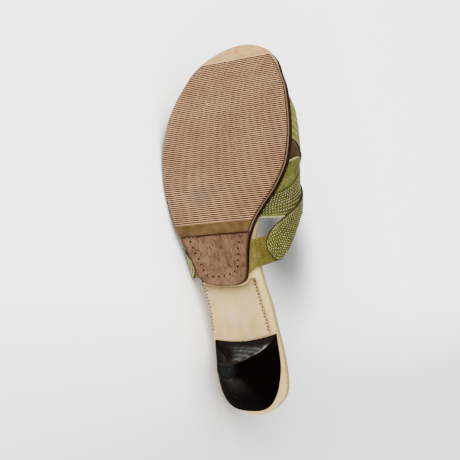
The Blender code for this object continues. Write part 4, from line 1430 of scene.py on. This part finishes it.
leaf_runs = {}
for name, start in (("inner_leaf", -0.3), ("outer_leaf", -0.1)):
    spec = STRAPS[name]
    table = spec["table"]
    places = np.linspace(start, table[-1][0], 600)
    leaf_runs[name] = row_runs(spec, lambda p, k: leaf_row(table, p, LEAF_FIRST + k * ROW_PITCH), places,
                               range(LEAF_ROWS + 1), pitch=1.7, share=0.5)
    border = on_strap(spec, *leaf_loop(spec, 0.85, start), lift=-0.2)
    leaf_runs[name].append(along_path(*border, pitch=1.35, share=0.62))
leaf_stitches = make_piece("leaf_stitches", (thread_lime,),
                           *capsules(leaf_runs["inner_leaf"], width=0.54, height=0.5))
outer_stitches = make_piece("outer_leaf_stitches", (thread_lime,),
                            *capsules(leaf_runs["outer_leaf"], width=0.62, height=0.5))

# %% [markdown]
# ### Stitches of the outsole's tongue
#
# One seam in a U holds the tongue: a needle hole, then two turns of cream thread, over and over.  As a
# texture the dots would swim when the camera moves, so the holes and the thread are small meshes.

# %% Tongue seam
SEAM_PITCH = 4.3        # a needle hole, then two turns of the thread
HOLE = 1.5              # length of the pitch that the hole takes
SEAM_START = 3.0

# path of the stitches that hold the outsole's tongue: x, y
TONGUE_SEAM = ((121.1, -31.7), (112.6, -28.9), (104.2, -26.0), (99.0, -24.6), (95.6, -22.6), (94.7, -18.7),
               (94.6, -13.6), (95.1, -8.2), (96.8, -3.2), (98.6, -0.4), (101.2, 1.3), (106.6, 2.4),
               (110.8, 3.3), (114.9, 4.2), (118.9, 5.9), (121.8, 7.2))


def soft_path(rows, count=300):
    """A smooth curve through a short table of points, by the cubic that the other tables use."""
    rows = np.array(rows, dtype=float)
    length = walked(rows)
    table = np.column_stack([length, rows]).tolist()
    t = np.linspace(0, length[-1], count)
    return smooth_pair(table, t)


x, y = soft_path(TONGUE_SEAM)
path = below(x, y, tread(x))
holes = along_path(*path, SEAM_PITCH, HOLE / SEAM_PITCH, start=SEAM_START)
tongue_holes = make_piece("tongue_holes", (needle_hole,), *capsules([holes], width=1.4, height=0.3))
turn = (SEAM_PITCH - HOLE) / 2
runs = [along_path(*path, SEAM_PITCH, 0.85 * turn / SEAM_PITCH, start=SEAM_START + HOLE + start)
        for start in (0.05, turn, -SEAM_PITCH + 0.05, -SEAM_PITCH + turn)]
tongue_stitches = make_piece("tongue_stitches", (thread_cream,),
                             *capsules(runs, width=0.5, height=0.6, skew=0.3))

# %% [markdown]
# ### A line of old glue
#
# Behind the half sole glue has squeezed out and dried in a thin crumbly line.  A painted line would be too
# even, so it is a row of short overlapping beads, moved a little at random; the seed keeps the same crumbs in
# every run.

# %% Glue line
GLUE_SPAN = (-36.2, 15.0)       # y of its two ends
CRUMBLE = 0.18                  # mm by which a bead strays, as a rule
y = np.linspace(*GLUE_SPAN, 200)
x = RUBBER_ENDS[0] - 0.45 + y * math.tan(math.radians(ROW_SLANT[0][1]))
starts, ends, facing = along_path(*below(x, y, tread(x) - 0.1), pitch=0.7, share=1.2)
draw = np.random.default_rng(5)
shift = draw.normal(0.0, CRUMBLE, (len(starts), 1)) * (1, 0, 0)
shift[starts[:, 1] < -20] *= 3      # it is more crumbly towards the outer edge
glue_line = make_piece("glue_line", (old_glue,),
                       *capsules([(starts + shift, ends + shift, facing)], width=0.8, height=0.5))

# %% [markdown]
# ### Seams and a scratch on the cover
#
# Two seams hold the cover along its edges.  Their red-brown dots could be bump, but at their true size they
# blur away, so they are meshes, drawn 1.2 mm wide.  The long scratch on the cover is a thin raised line.

# %% Cover seams and scratch
runs = []
for column, way in ((1, 1.0), (2, -1.0)):
    x = np.linspace(57.5, 92.0, 200)
    y = smooth(COVER_SIDES, column, x) + way * 0.6
    starts, ends, facing = along_path(*below(x, y, bed(x) - GAP - COVER), pitch=2.3, share=0.6)
    zigzag = np.where(np.arange(len(starts)) % 2, 0.25, -0.25)[:, None] * (0, 1, 0)
    runs.append((starts + zigzag, ends + zigzag, facing))
cover_stitches = make_piece("cover_stitches", (thread_brown,),
                            *capsules(runs, width=1.2, height=0.4, skew=0.3))
SCRATCH_X, SCRATCH_Y = (63.5, 71.5), (4.0, 13.6)
x = np.linspace(*SCRATCH_X, 60)
path = below(x, np.interp(x, SCRATCH_X, SCRATCH_Y), bed(x) - GAP - COVER)
cover_scratch = make_piece("cover_scratch", (scratch,),
                           *capsules([along_path(*path, pitch=1.6, share=0.98)], width=0.3, height=0.06))

# %% [markdown]
# ## Floor
#
# The shoe lies on a wide sheet of matt white paper that is lit from behind, as on a light table, so it stays
# bright and its shadows are faint.  A plain white floor would turn grey in the view transform.  Its shadows
# are
# painted into its glow: it glows less where the shoe hides the sky from it, which ambient occlusion measures,
# looking towards the camera's side, where the shoe is.  Two painted soft shadows behind the straps and a
# painted slow fall of light towards the heel finish it.

# %% Floor
SOFT = dict(interpolation_type="SMOOTHSTEP")
# painted shadow spots: centre, radius where it starts and where it ends, and how much light is left in the
# middle
SHADOW_SPOTS = (((-0.01, 0.155, 0.0), 0.015, 0.09, 0.14), ((-0.028, 0.118, 0.0), 0.01, 0.055, 0.3))
bpy.ops.mesh.primitive_plane_add(size=6.0, location=(0, 0, 0))
floor = bpy.context.object
floor.name = "floor"
made, tree, shader = new_finish("matt white paper", 0.9, 0.1)
shader.inputs["Emission Color"].default_value = colour("#FFFFFF")
shoe_way = add(tree, "CombineXYZ", {0: -0.35, 1: -0.87, 2: 0.34})
open_sky = add(tree, "AmbientOcclusion", {"Distance": 0.45, "Normal": shoe_way}, "AO", samples=16)
# painted shadow: an open share of 0.7 to 0.97 becomes a strength of 0 to 3
glow = add(tree, "MapRange", {0: open_sky, 1: 0.7, 2: 0.97, 3: 0.0, 4: 3.0})
here = add(tree, "TexCoord", out="Object")
along = add(tree, "SeparateXYZ", {0: here}, "X")
# painted shade: the paper and its glow fall off slowly towards the heel
shade = add(tree, "MapRange", {0: along, 1: 0.02, 2: 0.15, 3: 1.05, 4: 0.62}, **SOFT)
for centre, start, stop, left in SHADOW_SPOTS:
    away = add(tree, "VectorMath", {0: here, 1: centre}, "Value", operation="DISTANCE")
    shadow_spot = add(tree, "MapRange", {0: away, 1: start, 2: stop, 3: left, 4: 1.0}, **SOFT)
    shade = add(tree, "Math", {0: shade, 1: shadow_spot}, operation="MULTIPLY")
# the painted shade dims both the glow and the paper's colour
glow = add(tree, "Math", {0: glow, 1: shade}, operation="MULTIPLY")
paper = add(tree, "Mix", {0: shade, 6: "#000000", 7: "#F2F2F0"}, **BLEND)
tree.links.new(glow, shader.inputs["Emission Strength"])
tree.links.new(paper, shader.inputs["Base Color"])
floor.data.materials.append(made)
print("floor, m wide:", floor.dimensions.x)

# %% [markdown]
# ## Sky
#
# An even white studio gives nearly all the light.  An image of a studio would do it too, but five greys are
# enough: the sky is white overhead and beside the shoe, and darker in front of the sole and behind the
# straps, so that dark lacquer keeps its depth.

# %% Sky
world = bpy.data.worlds.new("studio")
bpy.context.scene.world = world
world.use_nodes = True
tree = world.node_tree
sky = tree.nodes["Background"]
way = add(tree, "TexCoord", out="Generated")
behind = add(tree, "SeparateXYZ", {0: way}, "Y")
behind = add(tree, "MapRange", {0: behind, 1: -1.0, 2: 1.0, 3: 0.0, 4: 1.0})
shades = add(tree, "ValToRGB", {0: behind}, stops=((0.0, "#4A4A4C"), (0.25, "#8E8E90"), (0.52, "#FFFFFF"),
                                                   (0.75, "#A8A8A8"), (1.0, "#707070")))
tree.links.new(shades, sky.inputs["Color"])
sky.inputs["Strength"].default_value = 1.25
print("sky strength:", sky.inputs["Strength"].default_value)

# %% [markdown]
# ## Camera
#
# The camera looks at the sole from half a metre, a little over the floor.  It starts straight under the
# standing shoe and is turned about the shoe's length, its width and the view, so the numbers say how the
# shoe is seen.  The last turn pans it sideways until the shoe is in the middle, which keeps the angle.


# %% Camera
def rotated(vector, axis, angle):
    """A vector turned about an axis."""
    return np.array(Matrix.Rotation(angle, 3, Vector(axis)) @ Vector(vector))


CAMERA_ROLL, CAMERA_DIP, CAMERA_TWIST, PAN = np.radians((18.277, 6.0, -0.762, 5.47))
CAMERA_TARGET = np.array([123.3, 46.8, 20.0])
CAMERA_DISTANCE = 500.0

back, over, right = np.array([0, 0, -1.0]), np.array([1.0, 0, 0]), np.array([0, 1.0, 0])
back, over, right = (rotated(v, (1, 0, 0), CAMERA_ROLL) for v in (back, over, right))
back, over = (rotated(v, right, CAMERA_DIP) for v in (back, over))
right, over = (rotated(v, back, CAMERA_TWIST) for v in (right, over))
eye = CAMERA_TARGET + back * CAMERA_DISTANCE
back, right = back * math.cos(PAN) + right * math.sin(PAN), right * math.cos(PAN) - back * math.sin(PAN)

camera_data = bpy.data.cameras.new("camera")
camera_data.lens, camera_data.sensor_width = 59.70, 36.0
camera_data.clip_start, camera_data.clip_end = 0.01, 20.0
camera = bpy.data.objects.new("camera", camera_data)
bpy.context.scene.collection.objects.link(camera)
turned = np.eye(4)
turned[:3, :3] = AXES @ np.stack([right, over, back], axis=1)
turned[:3, 3] = placed(eye)
camera.matrix_world = Matrix(turned.tolist())
bpy.context.scene.camera = camera
print("camera height over the floor, mm:", round(float(turned[2, 3]) / MM, 1))

# %% [markdown]
# ## Key light
#
# One large soft light stands on the camera's left.  It gives the ribs and the heel their bright side; a small
# lamp would throw hard shadows that a soft studio has not.

# %% Key light
KEY_PLACE, KEY_AIM = Vector((-1.0, -1.5, 0.85)), Vector((0, 0, 0.03))
key_data = bpy.data.lights.new("key", "AREA")
key_data.size, key_data.energy, key_data.color = 1.4, 38.0, colour("#FFF0DC")[:3]
key = bpy.data.objects.new("key", key_data)
bpy.context.scene.collection.objects.link(key)
key.location = KEY_PLACE
key.rotation_euler = (KEY_AIM - KEY_PLACE).to_track_quat("-Z", "Y").to_euler()
print("key light, m from the shoe:", round((KEY_AIM - KEY_PLACE).length, 2))
